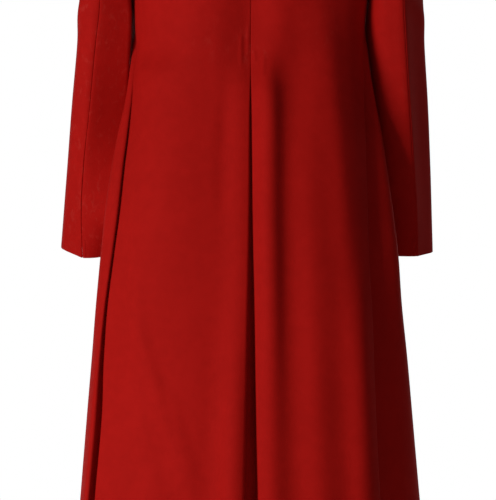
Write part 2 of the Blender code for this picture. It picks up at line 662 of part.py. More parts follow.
def cloth_mesh(name, surface, cells, set_normals, mirrored):
    """A closed wall of cloth: the surface moved half its thickness each way, with its rim.

    Where set_normals holds a direction, it takes the place of the surface's own normal.
    """
    columns = surface.shape[1]
    first = (np.arange(surface.shape[0])[:, None] * columns + np.arange(columns))[:-1, :-1][cells]
    quads = np.stack([first, first + 1, first + columns + 1, first + columns], axis=1)
    triangles = np.concatenate([quads[:, [0, 1, 2]], quads[:, [0, 2, 3]]])
    flat = surface.reshape(-1, 3)
    normals = cell_normals(flat, triangles)
    if set_normals is not None:
        given = set_normals.reshape(-1, 3)
        normals = np.where(np.any(given != 0, axis=1, keepdims=True), given, normals)
    used = np.unique(triangles)
    normals = normals[used]
    number = np.full(len(flat), -1)
    number[used] = np.arange(len(used))
    outer = number[triangles]
    inner = outer[:, ::-1] + len(used)
    edges = {}
    for i in range(4):
        for start, end in zip(quads[:, i], quads[:, (i + 1) % 4]):
            edges[(number[start], number[end])] = True
    rim = [(end, start, start + len(used), end + len(used))
           for start, end in edges if (end, start) not in edges]
    vertices = np.concatenate([flat[used] + normals * CLOTH / 2, flat[used] - normals * CLOTH / 2])
    faces = [tuple(face) for face in np.concatenate([outer, inner])]
    faces += [(p, q, r) for p, q, r, _ in rim] + [(p, r, s) for p, _, r, s in rim]
    if mirrored:
        vertices = vertices * np.array([-1.0, 1.0, 1.0])
        faces = [face[::-1] for face in faces]
    mesh = bpy.data.meshes.new(name)
    mesh.from_pydata([tuple(vertex) for vertex in vertices], [],
                     [tuple(int(i) for i in face) for face in faces])
    mesh.shade_smooth()
    mesh.set_sharp_from_angle(angle=math.radians(40.0))
    return mesh


def linear(hex_colour):
    """Linear colour of an sRGB hex value."""
    channels = [int(hex_colour[i:i + 2], 16) / 255 for i in (0, 2, 4)]
    return [c / 12.92 if c <= 0.04045 else ((c + 0.055) / 1.055) ** 2.4 for c in channels] + [1.0]


def cloth_material(name, colour):
    """Dyed worsted cloth."""
    material = bpy.data.materials.new(name)
    material.use_nodes = True
    shader = material.node_tree.nodes["Principled BSDF"]
    shader.inputs["Base Color"].default_value = linear(colour)
    shader.inputs["Roughness"].default_value = 0.75
    shader.inputs["Metallic"].default_value = 0.0
    return material


def add_object(name, mesh, material):
    """Add a mesh to the scene as one piece."""
    piece = bpy.data.objects.new(name, mesh)
    if not mesh.materials:
        mesh.materials.append(material)
    bpy.context.scene.collection.objects.link(piece)
    return piece


def add_cloth(name, made, mirrored=False):
    """Add a piece of cloth in its own material."""
    surface, cells, normals = made
    mesh = cloth_mesh(name, surface, cells, normals, mirrored)
    return add_object(name, mesh, cloth_material(name + "_cloth", SCARLET))


def button_mesh():
    """A domed button covered in cloth, its flat back on the XY plane and its dome toward +Z."""
    mesh = bpy.data.meshes.new("button")
    shape = bmesh.new()
    profile = [(1.0, 0.0), (1.0, BUTTON_RIM / BUTTON_HEIGHT), (0.62, 0.86)]
    rings = []
    for radius, height in profile:
        ring = [
            shape.verts.new((
                BUTTON_RADIUS * radius * math.cos(2 * math.pi * i / BUTTON_SIDES),
                BUTTON_RADIUS * radius * math.sin(2 * math.pi * i / BUTTON_SIDES),
                BUTTON_HEIGHT * height,
            ))
            for i in range(BUTTON_SIDES)
        ]
        rings.append(ring)
    shape.faces.new(rings[0][::-1])
    for low, high in zip(rings, rings[1:]):
        for i in range(BUTTON_SIDES):
            j = (i + 1) % BUTTON_SIDES
            shape.faces.new((low[i], low[j], high[j], high[i]))
    crown = shape.verts.new((0.0, 0.0, BUTTON_HEIGHT))
    for i in range(BUTTON_SIDES):
        shape.faces.new((rings[-1][i], rings[-1][(i + 1) % BUTTON_SIDES], crown))
    shape.to_mesh(mesh)
    shape.free()
    mesh.shade_smooth()
    mesh.set_sharp_from_angle(angle=math.radians(40.0))
    return mesh


def add_buttons(front_surface):
    """Set the buttons down the centre line, each flat against the lapped front."""
    centre = front_surface[:, -2]
    mesh = button_mesh()
    material = cloth_material("button_cloth", SCARLET_BUTTON)
    for number in range(BUTTON_COUNT):
        drop = FIRST_BUTTON_DROP + number * BUTTON_SPACING
        row = int(np.searchsorted(-centre[:, 2], drop)) - 1
        share = (drop + centre[row, 2]) / (centre[row, 2] - centre[row + 1, 2])
        place = Vector(centre[row] * (1 - share) + centre[row + 1] * share)
        down = Vector(centre[row + 1] - centre[row]).normalized()
        facing = Vector((0.0, down.z, -down.y))
        piece = add_object("button_%02d" % (number + 1), mesh, material)
        piece.matrix_world = Matrix.Translation(
            place + facing * (CLOTH / 2 + SEAM_GAP)
        ) @ facing.to_track_quat("Z", "Y").to_matrix().to_4x4()


def main():
    """Clear the scene and build every piece of the cassock."""
    for old in list(bpy.data.objects):
        bpy.data.objects.remove(old, do_unlink=True)
    front_left = front_panel("left")
    add_cloth("back_left", back_panel("left"))
    add_cloth("back_right", back_panel("right"), mirrored=True)
    add_cloth("back_pleat_underlay", underlay())
    add_cloth("front_left", front_left)
    add_cloth("front_right", front_panel("right"), mirrored=True)
    for side, mirrored in (("left", False), ("right", True)):
        upper, under = sleeve_halves(side)
        add_cloth("upper_sleeve_" + side, upper, mirrored)
        add_cloth("under_sleeve_" + side, under, mirrored)
    add_cloth("collar", collar())
    add_buttons(front_left[0])


main()
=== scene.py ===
"""A worn scarlet cassock: cloth shells on its solids, with folds, seams, hems and buttons.

Units are metres. The wearer faces -Y, +X is the wearer's left and +Z is up. The origin lies on the
body's centre line, level with the points where the shoulder seams meet the neck, and a drop is a
distance below it. Each panel is worked out for the wearer's left, with its columns running
clockwise seen from above and its rows running down, and mirrored for the wearer's right.
"""

import logging
import math
from dataclasses import dataclass, field
from enum import Enum
from typing import Any, Optional

import bpy
import numpy as np
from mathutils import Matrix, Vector


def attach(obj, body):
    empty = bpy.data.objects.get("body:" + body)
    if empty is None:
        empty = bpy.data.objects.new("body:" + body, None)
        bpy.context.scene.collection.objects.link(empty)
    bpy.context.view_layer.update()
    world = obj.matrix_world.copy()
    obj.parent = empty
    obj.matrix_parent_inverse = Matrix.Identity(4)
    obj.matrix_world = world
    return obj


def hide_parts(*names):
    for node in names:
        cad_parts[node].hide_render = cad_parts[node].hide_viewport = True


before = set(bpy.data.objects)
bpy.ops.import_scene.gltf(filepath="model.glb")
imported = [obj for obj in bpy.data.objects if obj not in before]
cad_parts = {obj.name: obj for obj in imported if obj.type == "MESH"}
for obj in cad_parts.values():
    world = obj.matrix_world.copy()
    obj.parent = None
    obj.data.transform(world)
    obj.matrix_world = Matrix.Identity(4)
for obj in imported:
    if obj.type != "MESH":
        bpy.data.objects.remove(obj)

log = logging.getLogger("cassock")

Array = np.ndarray
Sections = dict[str, Array]

BODY = "root"

# ---- the cloth and how it is sewn ----
CLOTH = 0.0013              # thickness of the cloth
SEAM_TURN = 0.0007          # radius by which a seam's edge turns in
SEAM_HALF_GAP = 0.00005     # half the space left between two turned edges
SEAM_INSET = SEAM_TURN + CLOTH / 2 + SEAM_HALF_GAP      # from a seam to the edge's middle
ALLOWANCE = 0.0040          # cloth kept beyond a seam, inside
HEM_TURN = 0.00075          # radius of a hem's edge
HEM_DEPTH = 0.036           # cloth turned up inside the hem
CUFF_DEPTH = 0.028          # and inside the cuff
LAYER_GAP = 0.0009          # clear space between two layers of a pleat
SEWN_GAP = 0.0004           # and where they are sewn
UNDERLAY_GAP = 0.0022       # clear space behind the centre pleat's edges

# ---- landmarks of the cut ----
NECK_HALF_WIDTH = 0.068
NECK_BACK_Y = 0.058
NECK_FRONT_Y = -0.066
NECK_BACK_RISE = 0.010
NECK_FRONT_DROP = 0.066
SHOULDER_TIP = (0.196, 0.004, -0.050)
ARMPIT_DROP = 0.196
HEM_DROP = 1.425
STATION_LENGTH = 0.035      # the height that a station of the yoke stands for at the armpit
UNDERLAY_TOP = 0.384
FOLD_TOP = 0.380            # the skirt's broad folds grow from here to the hem
FOLD_LEAD = 0.045           # they come in from this far above it
FOLD_RISE = 0.110           # over this height
LAP_REACH = 0.022           # how far a front reaches past the centre
LAP_STEP_X = 0.050          # where the front underneath starts to step in
LAP_STEP = CLOTH + 0.0026
LAP_TURNED = 0.0018         # more where the neck and the hem are turned in
NECK_TURNED = 0.04          # over this height below the neck
HEM_TURNED = (0.03, 0.02)   # and from this far above the turned hem, over this height
FINE_ROWS = (0.330, 0.440)  # drops between which a panel's rows stand closest
ROW_STEPS = (0.0055, 0.0025, 0.0066)    # height of a row above, between and below them
LAST_ROW = 0.003            # the least height of the last row
MEET_DROP = 0.455           # down to here the back's two edges are drawn to their seam
MEET_FADE = 0.150           # over this height it stops
MEET_REACH = 0.030          # and over this distance from the centre
FACING = 0.030              # cloth turned in at the edge of the lap
REACH = 0.40                # from a curve's end to its last control, in its half widths
REACH_CENTRE = 0.45         # from the centre to its first control
YOKE_RISE = 0.35            # how much of a yoke curve's fall lies beyond its last control
FLOOR = -1.490
TURN_COLUMNS = 5            # columns of the half circle by which an edge turns in
HEM_ROWS = 5                # rows of the layer inside a hem or a turned top
RIM_ROUNDING = 0.4          # how far a free edge bulges, in thicknesses
RUBBED_INSIDE = 0.3         # the inner side's share of the outer side's rubbing
ACROSS = np.array([1.0, 0.0, 0.0])
MIRROR = np.array([-1.0, 1.0, 1.0])


class Side(Enum):
    """A side of the wearer."""

    LEFT = "left"
    RIGHT = "right"


SIDE_PLEAT_TOP = {Side.LEFT: 0.380, Side.RIGHT: 0.350}


class Held(Enum):
    """How a piece of cloth is held."""

    HUNG = "hung"
    FOLDED = "folded"


def table(columns: str, *rows: tuple[float, ...]) -> Sections:
    """Give each column of a table of sections its name.

    Args:
        columns: The names, with spaces between them.
        rows: The table's rows.

    Returns:
        Each column as an array, by name.
    """
    return {name: np.array(values) for name, values in zip(columns.split(), zip(*rows))}


SIDE_COLUMNS = "drop fold_x fold_y turn outer_x outer_y"
YOKE_COLUMNS = "centre_y centre_drop edge_x edge_y edge_drop turn"
FOLD_COLUMNS = "at_waist at_hem width_waist width_hem height_waist height_hem"
SLEEVE_COLUMNS = (
    "along outer_x outer_drop inner_x inner_drop middle_y half_depth skew tilt arch dip"
)

TRUNK = table(
    "drop back_y front_y side_reach front_fullness",
    (0.196, 0.115, -0.126, 0.070, 0.62),
    (0.250, 0.110, -0.127, 0.070, 0.63),
    (0.305, 0.101, -0.125, 0.070, 0.64),
    (0.350, 0.097, -0.122, 0.065, 0.66),
    (0.392, 0.098, -0.122, 0.050, 0.71),
    (0.455, 0.108, -0.125, 0.030, 0.80),
    (0.545, 0.123, -0.131, 0.021, 0.82),
    (0.605, 0.131, -0.135, 0.020, 0.80),
    (0.680, 0.141, -0.141, 0.020, 0.79),
    (0.755, 0.150, -0.148, 0.022, 0.79),
    (0.905, 0.168, -0.165, 0.030, 0.78),
    (1.055, 0.187, -0.183, 0.042, 0.76),
    (1.425, 0.232, -0.222, 0.070, 0.72),
)
SIDES = {
    Side.LEFT: table(
        SIDE_COLUMNS,
        (0.196, 0.1760, -0.002, 90.0, 0.1760, -0.002),
        (0.250, 0.1745, 0.000, 90.0, 0.1745, 0.000),
        (0.305, 0.1735, 0.000, 90.0, 0.1735, 0.000),
        (0.350, 0.1710, 0.004, 88.0, 0.1714, 0.001),
        (0.380, 0.1685, 0.010, 85.0, 0.1755, 0.000),
        (0.410, 0.1715, 0.030, 75.0, 0.1790, 0.015),
        (0.455, 0.1740, 0.046, 66.0, 0.1857, 0.030),
        (0.500, 0.1775, 0.060, 60.0, 0.1960, 0.040),
        (0.545, 0.1830, 0.070, 56.0, 0.2048, 0.046),
        (0.605, 0.1895, 0.080, 52.0, 0.2145, 0.051),
        (0.680, 0.2000, 0.089, 50.0, 0.2223, 0.055),
        (0.755, 0.2095, 0.096, 48.0, 0.2290, 0.055),
        (0.830, 0.2140, 0.105, 46.0, 0.2350, 0.055),
        (0.905, 0.2155, 0.116, 44.0, 0.2420, 0.055),
        (1.055, 0.2260, 0.133, 42.0, 0.2550, 0.053),
        (1.425, 0.2500, 0.165, 40.0, 0.2850, 0.050),
    ),
    Side.RIGHT: table(
        SIDE_COLUMNS,
        (0.196, 0.1760, -0.002, 90.0, 0.1760, -0.002),
        (0.250, 0.1745, 0.000, 90.0, 0.1745, 0.000),
        (0.305, 0.1725, 0.002, 88.0, 0.1725, 0.002),
        (0.335, 0.1695, 0.005, 87.0, 0.1700, 0.002),
        (0.350, 0.1680, 0.010, 85.0, 0.1700, 0.000),
        (0.380, 0.1665, 0.028, 74.0, 0.1735, 0.012),
        (0.410, 0.1663, 0.043, 66.0, 0.1770, 0.022),
        (0.455, 0.1658, 0.058, 60.0, 0.1847, 0.033),
        (0.500, 0.1673, 0.070, 56.0, 0.1932, 0.041),
        (0.545, 0.1680, 0.080, 52.0, 0.1998, 0.046),
        (0.605, 0.1695, 0.092, 48.0, 0.2086, 0.051),
        (0.680, 0.1710, 0.105, 44.0, 0.2183, 0.055),
        (0.755, 0.1745, 0.114, 42.0, 0.2242, 0.055),
        (0.830, 0.1760, 0.124, 40.0, 0.2320, 0.055),
        (0.905, 0.1785, 0.133, 38.0, 0.2390, 0.055),
        (1.055, 0.1855, 0.152, 36.0, 0.2530, 0.053),
        (1.425, 0.2090, 0.190, 35.0, 0.2850, 0.050),
    ),
}
BACK_YOKE = table(
    YOKE_COLUMNS,
    (0.077, 0.028, 0.190, 0.026, 0.078, 25.0),
    (0.096, 0.070, 0.183, 0.048, 0.110, 42.0),
    (0.108, 0.114, 0.179, 0.058, 0.146, 55.0),
    (0.114, 0.157, 0.177, 0.040, 0.178, 72.0),
)
FRONT_YOKE = table(
    YOKE_COLUMNS,
    (-0.083, 0.090, 0.184, -0.022, 0.080, 20.0),
    (-0.100, 0.117, 0.173, -0.044, 0.112, 35.0),
    (-0.113, 0.145, 0.169, -0.055, 0.148, 52.0),
    (-0.122, 0.172, 0.174, -0.040, 0.180, 75.0),
)
CENTRE_PLEAT = table(
    "drop half_gap turn depth",
    (0.196, -0.00003, 0.00070, 0.004),
    (0.260, -0.00003, 0.00035, 0.004),
    (0.320, -0.00003, 0.00035, 0.004),
    (0.360, -0.00003, 0.00035, 0.005),
    (0.385, -0.00003, 0.00040, 0.008),
    (0.405, 0.00010, 0.00060, 0.014),
    (0.455, 0.00110, 0.00150, 0.026),
    (0.605, 0.00160, 0.00240, 0.036),
    (0.755, 0.00400, 0.00320, 0.044),
    (0.905, 0.00600, 0.00440, 0.052),
    (1.055, 0.00850, 0.00540, 0.058),
    (1.425, 0.01300, 0.00600, 0.068),
)
# Below the top of a side pleat: the radius of its edge, the cloth turned in, and the seam's inset.
SIDE_PLEAT = table(
    "below turn depth inset",
    (-0.060, 0.00070, 0.004, 1.0),
    (-0.012, 0.00070, 0.004, 1.0),
    (0.000, 0.00080, 0.008, 0.8),
    (0.012, 0.00120, 0.012, 0.4),
    (0.030, 0.00180, 0.015, 0.0),
    (0.060, 0.00240, 0.017, 0.0),
    (0.230, 0.00240, 0.026, 0.0),
    (0.530, 0.00240, 0.038, 0.0),
    (1.045, 0.00240, 0.050, 0.0),
)
BIG_FOLDS = {
    "back_left": table(
        FOLD_COLUMNS,
        (0.010, 0.004, 0.016, 0.028, 0.0030, 0.0120),
        (0.205, 0.088, 0.020, 0.028, 0.0000, 0.0090),
        (0.300, 0.175, 0.020, 0.030, 0.0000, 0.0090),
    ),
    "back_right": table(
        FOLD_COLUMNS,
        (0.022, 0.013, 0.021, 0.027, 0.0125, 0.0150),
        (0.075, 0.100, 0.022, 0.032, 0.0015, 0.0110),
        (0.150, 0.180, 0.022, 0.030, 0.0000, 0.0080),
    ),
    "front_left": table(
        FOLD_COLUMNS,
        (0.060, 0.110, 0.020, 0.035, 0.0000, 0.0130),
        (0.130, 0.230, 0.020, 0.035, 0.0000, 0.0110),
    ),
    "front_right": table(
        FOLD_COLUMNS,
        (0.070, 0.125, 0.020, 0.035, 0.0000, 0.0120),
        (0.125, 0.235, 0.020, 0.035, 0.0000, 0.0120),
    ),
}
SLEEVES = {
    Side.LEFT: table(
        SLEEVE_COLUMNS,
        (0.030, 0.2225, 0.064, 0.1785, 0.216, 0.001, 0.075, 0.000, 0.00, 0.00, 0.000),
        (0.065, 0.2385, 0.098, 0.1785, 0.232, 0.000, 0.074, 0.002, 0.00, 0.02, 0.000),
        (0.125, 0.2475, 0.160, 0.1780, 0.256, -0.003, 0.070, 0.006, 0.00, 0.08, 0.000),
        (0.190, 0.2505, 0.228, 0.1750, 0.290, -0.008, 0.064, 0.008, -0.10, 0.44, 0.000),
        (0.265, 0.2540, 0.304, 0.1728, 0.330, -0.014, 0.061, 0.009, -0.12, 0.58, 0.000),
        (0.325, 0.2585, 0.364, 0.1736, 0.376, -0.022, 0.059, 0.013, -0.12, 0.62, 0.000),
        (0.415, 0.2680, 0.454, 0.1760, 0.461, -0.037, 0.059, 0.017, -0.12, 0.70, 0.000),
        (0.505, 0.2760, 0.544, 0.1896, 0.551, -0.054, 0.058, 0.016, -0.22, 0.36, 0.000),
        (0.585, 0.2830, 0.622, 0.2000, 0.636, -0.069, 0.057, 0.012, -0.34, 0.12, 0.000),
        (0.640, 0.2882, 0.682, 0.2040, 0.696, -0.080, 0.056, 0.007, -0.26, 0.14, 0.004),
    ),
    Side.RIGHT: table(
        SLEEVE_COLUMNS,
        (0.030, 0.2225, 0.064, 0.1785, 0.216, 0.001, 0.075, 0.000, 0.00, 0.00, 0.000),
        (0.065, 0.2385, 0.098, 0.1785, 0.232, 0.000, 0.074, 0.002, -0.02, 0.00, 0.000),
        (0.125, 0.2475, 0.160, 0.1785, 0.256, -0.003, 0.070, 0.006, -0.08, 0.00, 0.000),
        (0.190, 0.2530, 0.228, 0.1750, 0.290, -0.008, 0.066, 0.009, -0.12, 0.00, 0.000),
        (0.265, 0.2565, 0.304, 0.1705, 0.330, -0.014, 0.063, 0.011, -0.12, 0.00, 0.000),
        (0.325, 0.2600, 0.364, 0.1690, 0.376, -0.022, 0.061, 0.014, -0.12, 0.00, 0.000),
        (0.415, 0.2665, 0.454, 0.1750, 0.461, -0.037, 0.060, 0.014, -0.24, 0.00, 0.000),
        (0.505, 0.2715, 0.544, 0.1840, 0.551, -0.054, 0.058, 0.014, -0.18, 0.00, 0.000),
        (0.585, 0.2755, 0.625, 0.1925, 0.630, -0.069, 0.057, 0.014, -0.10, 0.00, 0.000),
        (0.640, 0.2780, 0.690, 0.1975, 0.692, -0.080, 0.056, 0.012, -0.05, 0.00, 0.000),
    ),
}
# How far a sleeve's back is filled out on the outer and on the inner side of its seam.
SLEEVE_FULLNESS = {Side.LEFT: (0.50, 0.82), Side.RIGHT: (-0.36, 0.06)}


# ======================================================================= surfaces

def unit(vectors: Array) -> Array:
    """Vectors divided by their lengths."""
    return vectors / np.maximum(np.linalg.norm(vectors, axis=-1, keepdims=True), 1e-12)


def points(x: Array | float, y: Array | float, z: Array | float) -> Array:
    """Three arrays, or numbers, stacked as points."""
    return np.stack(np.broadcast_arrays(x, y, z), axis=-1).astype(float)


def smooth(stations: Array, values: Array, at: Array, last_slope: Optional[Array] = None) -> Array:
    """Read a smooth curve through values at rising stations.

    Each span is a cubic that keeps the slopes at its ends, and a station's slope is the average
    of its neighbours' differences.

    Args:
        stations: Where the values stand.
        values: One value, point or row of points at each station.
        at: Where to read.
        last_slope: The slope at the last station, where it is known.

    Returns:
        The values at the places read.
    """
    at = np.asarray(at, dtype=float)
    slopes = np.gradient(values, stations, axis=0)
    if last_slope is not None:
        slopes[-1] = last_slope
    first = np.clip(np.searchsorted(stations, at, side="right") - 1, 0, len(stations) - 2)
    width = stations[first + 1] - stations[first]
    share = np.clip((at - stations[first]) / width, 0.0, 1.0)
    shape = share.shape + (1,) * (values.ndim - 1)
    t, width = share.reshape(shape), width.reshape(shape)
    start = (1 + 2 * t) * (1 - t) ** 2 * values[first] + t * (1 - t) ** 2 * width * slopes[first]
    end = t ** 2 * (3 - 2 * t) * values[first + 1] - t ** 2 * (1 - t) * width * slopes[first + 1]
    return start + end


def read(sections: Sections, column: str, at: Array, key: str = "drop") -> Array:
    """One column of a table of sections, read smoothly at other drops."""
    return smooth(sections[key], sections[column], at)


def bezier(controls: list[Array], samples: Array) -> Array:
    """Read cubic Bezier curves, one curve a row.

    Args:
        controls: The four control points of each curve.
        samples: Shares of the way from 0 to 1.

    Returns:
        The points, row by row.
    """
    t = samples[None, :, None]
    a, b, c, d = (control[:, None, :] for control in controls)
    return (1 - t) ** 3 * a + 3 * (1 - t) ** 2 * t * b + 3 * (1 - t) * t ** 2 * c + t ** 3 * d


def ease(share: Array) -> Array:
    """A share of the way, clipped to 0 and 1, and slow at both ends: 3 t squared less 2 t cubed."""
    t = np.clip(share, 0.0, 1.0)
    return t * t * (3 - 2 * t)


def normals_of(grid: Array) -> Array:
    """Outward unit normals of a grid: the step across it times the step down it."""
    return unit(np.cross(np.gradient(grid, axis=1), np.gradient(grid, axis=0)))


def travelled(grid: Array) -> Array:
    """Distance along each row of a grid from its first column."""
    steps = np.linalg.norm(np.diff(grid, axis=1), axis=-1)
    return np.concatenate([np.zeros((len(grid), 1)), np.cumsum(steps, axis=1)], axis=1)


def walk(grid: Array, distances: Array, values: Optional[Array] = None) -> Array:
    """Read a grid, or values on it, at distances along its rows, straight between columns.

    Args:
        grid: The points, row by row.
        distances: Distances from the first column, for all rows or for each.
        values: What to read; the points themselves when left out.

    Returns:
        The values, one row for each row of the grid.
    """
    length = travelled(grid)
    distances = np.broadcast_to(distances, (len(grid), np.shape(distances)[-1]))
    first = (length[:, :, None] <= distances[:, None, :]).sum(axis=1) - 1
    first = np.clip(first, 0, grid.shape[1] - 2)
    row = np.arange(len(grid))[:, None]
    start, end = length[row, first], length[row, first + 1]
    share = ((distances - start) / np.maximum(end - start, 1e-9))[..., None]
    values = grid if values is None else values
    return values[row, first] * (1 - share) + values[row, first + 1] * share


def turn_under(grid: Array, radius: Array | float, depth: Array | float,
               columns: int = 7) -> Array:
    """The cloth that turns in under a grid's first column, from the turn inward.

    A half circle leaves the edge in the surface's own direction and comes back two radii below
    it; the rest is the surface itself, walked back from the edge and moved down by two radii.

    Args:
        grid: The outer layer.
        radius: Radius of the turn at each row, to the middle of the cloth.
        depth: How far the cloth goes back under at each row.
        columns: Columns of the layer underneath.

    Returns:
        The new columns, in order from the edge.
    """
    normals = normals_of(grid)
    radius = np.broadcast_to(radius, (len(grid),))[:, None]
    depth = np.broadcast_to(depth, (len(grid),))[:, None]
    ahead = unit(grid[:, 0] - grid[:, 1])[:, None, :]
    angle = np.linspace(0.0, math.pi, TURN_COLUMNS + 1)[1:]
    turn = (
        grid[:, :1]
        + ahead * (radius * np.sin(angle))[..., None]
        - normals[:, :1] * (radius * (1 - np.cos(angle)))[..., None]
    )
    steps = depth * np.linspace(0.0, 1.0, columns + 1)[1:]
    under = walk(grid, steps) - walk(grid, steps, normals) * 2 * radius[..., None]
    return np.concatenate([turn, under], axis=1)


def turn_under_last(grid: Array, radius: Array | float, depth: Array | float,
                    columns: int = 7) -> Array:
    """The cloth that turns in under a grid's last column, as turn_under does at its first.

    Args:
        grid: The outer layer.
        radius: Radius of the turn at each row, to the middle of the cloth.
        depth: How far the cloth goes back under at each row.
        columns: Columns of the layer underneath.

    Returns:
        The new columns, in order from the edge.
    """
    radii, depths = (np.broadcast_to(value, (len(grid),))[::-1] for value in (radius, depth))
    return turn_under(grid[::-1, ::-1], radii, depths, columns)[::-1]


def turn_down(grid: Array, radius: float, depth: float) -> Array:
    """The rows by which cloth turns up inside at a grid's last row, as turn_under does columns."""
    on_its_side = np.swapaxes(grid, 0, 1)[:, ::-1]
    return np.swapaxes(turn_under(on_its_side, radius, depth, HEM_ROWS), 0, 1)


def turn_over(grid: Array, radius: float, depth: float) -> Array:
    """Turn cloth down inside above a grid's first row, as turn_under does at its first column.

    Args:
        grid: The outer layer.
        radius: Radius of the turn, to the middle of the cloth.
        depth: How far the cloth goes back under.

    Returns:
        The new rows, from the inside out.
    """
    on_its_side = np.swapaxes(grid, 0, 1)[::-1]
    rows = np.swapaxes(turn_under(on_its_side, radius, depth, HEM_ROWS)[::-1], 0, 1)
    return rows[::-1]


@dataclass(frozen=True)
class Crease:
    """A soft ridge along a line on a piece of cloth, or a trough where its height is below 0.

    Places are (distance along the row, drop). Its section is a bell whose sides may differ, and
    it fades in and out over shares of its length.
    """

    start: tuple[float, float]
    end: tuple[float, float]
    width: tuple[float, float]
    height: float
    bow: float = 0.0
    lean: float = 0.0
    fade: tuple[float, float] = (0.3, 0.3)

    def relief(self, along_row: Array, drop: Array) -> Array:
        """Height of the crease at places on the cloth.

        Args:
            along_row: Distances along the rows.
            drop: Drops, or distances along the piece.

        Returns:
            The bell of the distance from the bowed line, times the fades at its two ends.
        """
        run = np.subtract(self.end, self.start)
        size = np.hypot(*run)
        step_u, step_v = along_row - self.start[0], drop - self.start[1]
        share = (step_u * run[0] + step_v * run[1]) / size ** 2
        across = (step_u * run[1] - step_v * run[0]) / size
        clipped = np.clip(share, 0.0, 1.0)
        across = across - self.bow * np.sin(math.pi * clipped)
        width = self.width[0] * (1 - clipped) + self.width[1] * clipped
        width = width * np.where(across > 0, 1 + self.lean, 1 - self.lean)
        fade_in, fade_out = (max(fade, 1e-3) for fade in self.fade)
        window = ease(share / fade_in) * ease((1 - share) / fade_out)
        return self.height * np.exp(-((across / width) ** 2)) * window


# Waves of the cloth's unevenness: radians a metre across and down, and height in millimetres.
SWELLS = (
    (38.0, 9.0, 0.16),
    (21.0, -13.0, 0.22),
    (61.0, 17.0, 0.09),
    (12.0, 24.0, 0.16),
    (137.0, 6.0, 0.08),
    (211.0, -8.0, 0.04),
)


def unevenness(along_row: Array, drop: Array, seed: float) -> Array:
    """Slow swells of under a millimetre: a sum of long waves that cross at odd angles.

    Args:
        along_row: Distances along the rows.
        drop: Drops, or distances along the piece.
        seed: A number that shifts the waves.

    Returns:
        The height of the swells at each place.
    """
    total = np.zeros(np.broadcast(along_row, drop).shape)
    for wave, (across, down, size) in enumerate(SWELLS):
        total = total + size * np.sin(along_row * across + drop * down + seed * (wave + 1.7))
    return total * 0.001


def creased(grid: Array, creases: tuple[Crease, ...], seed: float) -> Array:
    """Move a grid along its normals by its creases and by a slight unevenness.

    Args:
        grid: The smooth cloth.
        creases: The creases laid on it.
        seed: A number that sets this piece's unevenness.

    Returns:
        The creased cloth.
    """
    along_row, drop = travelled(grid), -grid[..., 2]
    height = unevenness(along_row, drop, seed)
    for crease in creases:
        height = height + crease.relief(along_row, drop)
    return grid + normals_of(grid) * height[..., None]


# ======================================================================= meshes

def lone_edges(quads: Array, count: int) -> tuple[Array, Array]:
    """Find the free edges of a mesh: those that no neighbouring quad runs the other way.

    Args:
        quads: Four vertex numbers a face.
        count: How many vertices there are.

    Returns:
        The edges' first and last vertices.
    """
    start, end = quads.ravel(), np.roll(quads, -1, axis=1).ravel()
    lone = ~np.isin(start * count + end, end * count + start)
    return start[lone], end[lone]


def shell(name: str, grid: Array, mirrored: bool = False,
          nap: Optional[Array] = None) -> bpy.types.Object:
    """Make a closed wall of cloth about a grid of points.

    The outer and inner skins are the grid moved half the cloth along its normals, and a rim
    with one line of points between the skins' own edges joins them round every free edge.

    Args:
        name: Name of the piece.
        grid: The middle of the cloth, with columns clockwise and rows down.
        mirrored: Whether to mirror the piece to the wearer's right.
        nap: How much the cloth's surface is rubbed at each point, from 0 to 1.

    Returns:
        The new object, in the scene.
    """
    rows, columns = grid.shape[:2]
    first = (np.arange(rows)[:, None] * columns + np.arange(columns))[:-1, :-1].ravel()
    quads = np.stack([first, first + 1, first + columns + 1, first + columns], axis=1)
    down = np.swapaxes(travelled(np.swapaxes(grid, 0, 1)), 0, 1)
    weave = np.stack([travelled(grid), down], axis=-1).reshape(-1, 2)
    rubbed = np.zeros(rows * columns) if nap is None else nap.ravel()
    flat, normals = grid.reshape(-1, 3), normals_of(grid).reshape(-1, 3)

    count = len(flat)
    start, end = lone_edges(quads, count)
    aside = np.zeros_like(flat)
    away = np.cross(unit(flat[end] - flat[start]), normals[start])
    np.add.at(aside, start, away)
    np.add.at(aside, end, away)
    rim = np.unique(start)
    number = np.full(count, -1)
    number[rim] = 2 * count + np.arange(len(rim))
    vertices = np.concatenate([
        flat + normals * CLOTH / 2,
        flat - normals * CLOTH / 2,
        flat[rim] + unit(aside[rim]) * CLOTH * RIM_ROUNDING,
    ])
    faces = np.concatenate([
        quads,
        quads[:, ::-1] + count,
        np.stack([end, start, number[start], number[end]], axis=1),
        np.stack([number[end], number[start], start + count, end + count], axis=1),
    ])
    weave = np.concatenate([weave, weave, weave[rim]])
    rubbed = np.concatenate([rubbed, rubbed * RUBBED_INSIDE, rubbed[rim]])
    if mirrored:
        vertices = vertices * MIRROR
        faces = faces[:, ::-1]
    return add_mesh(name, vertices, faces, weave, rubbed)


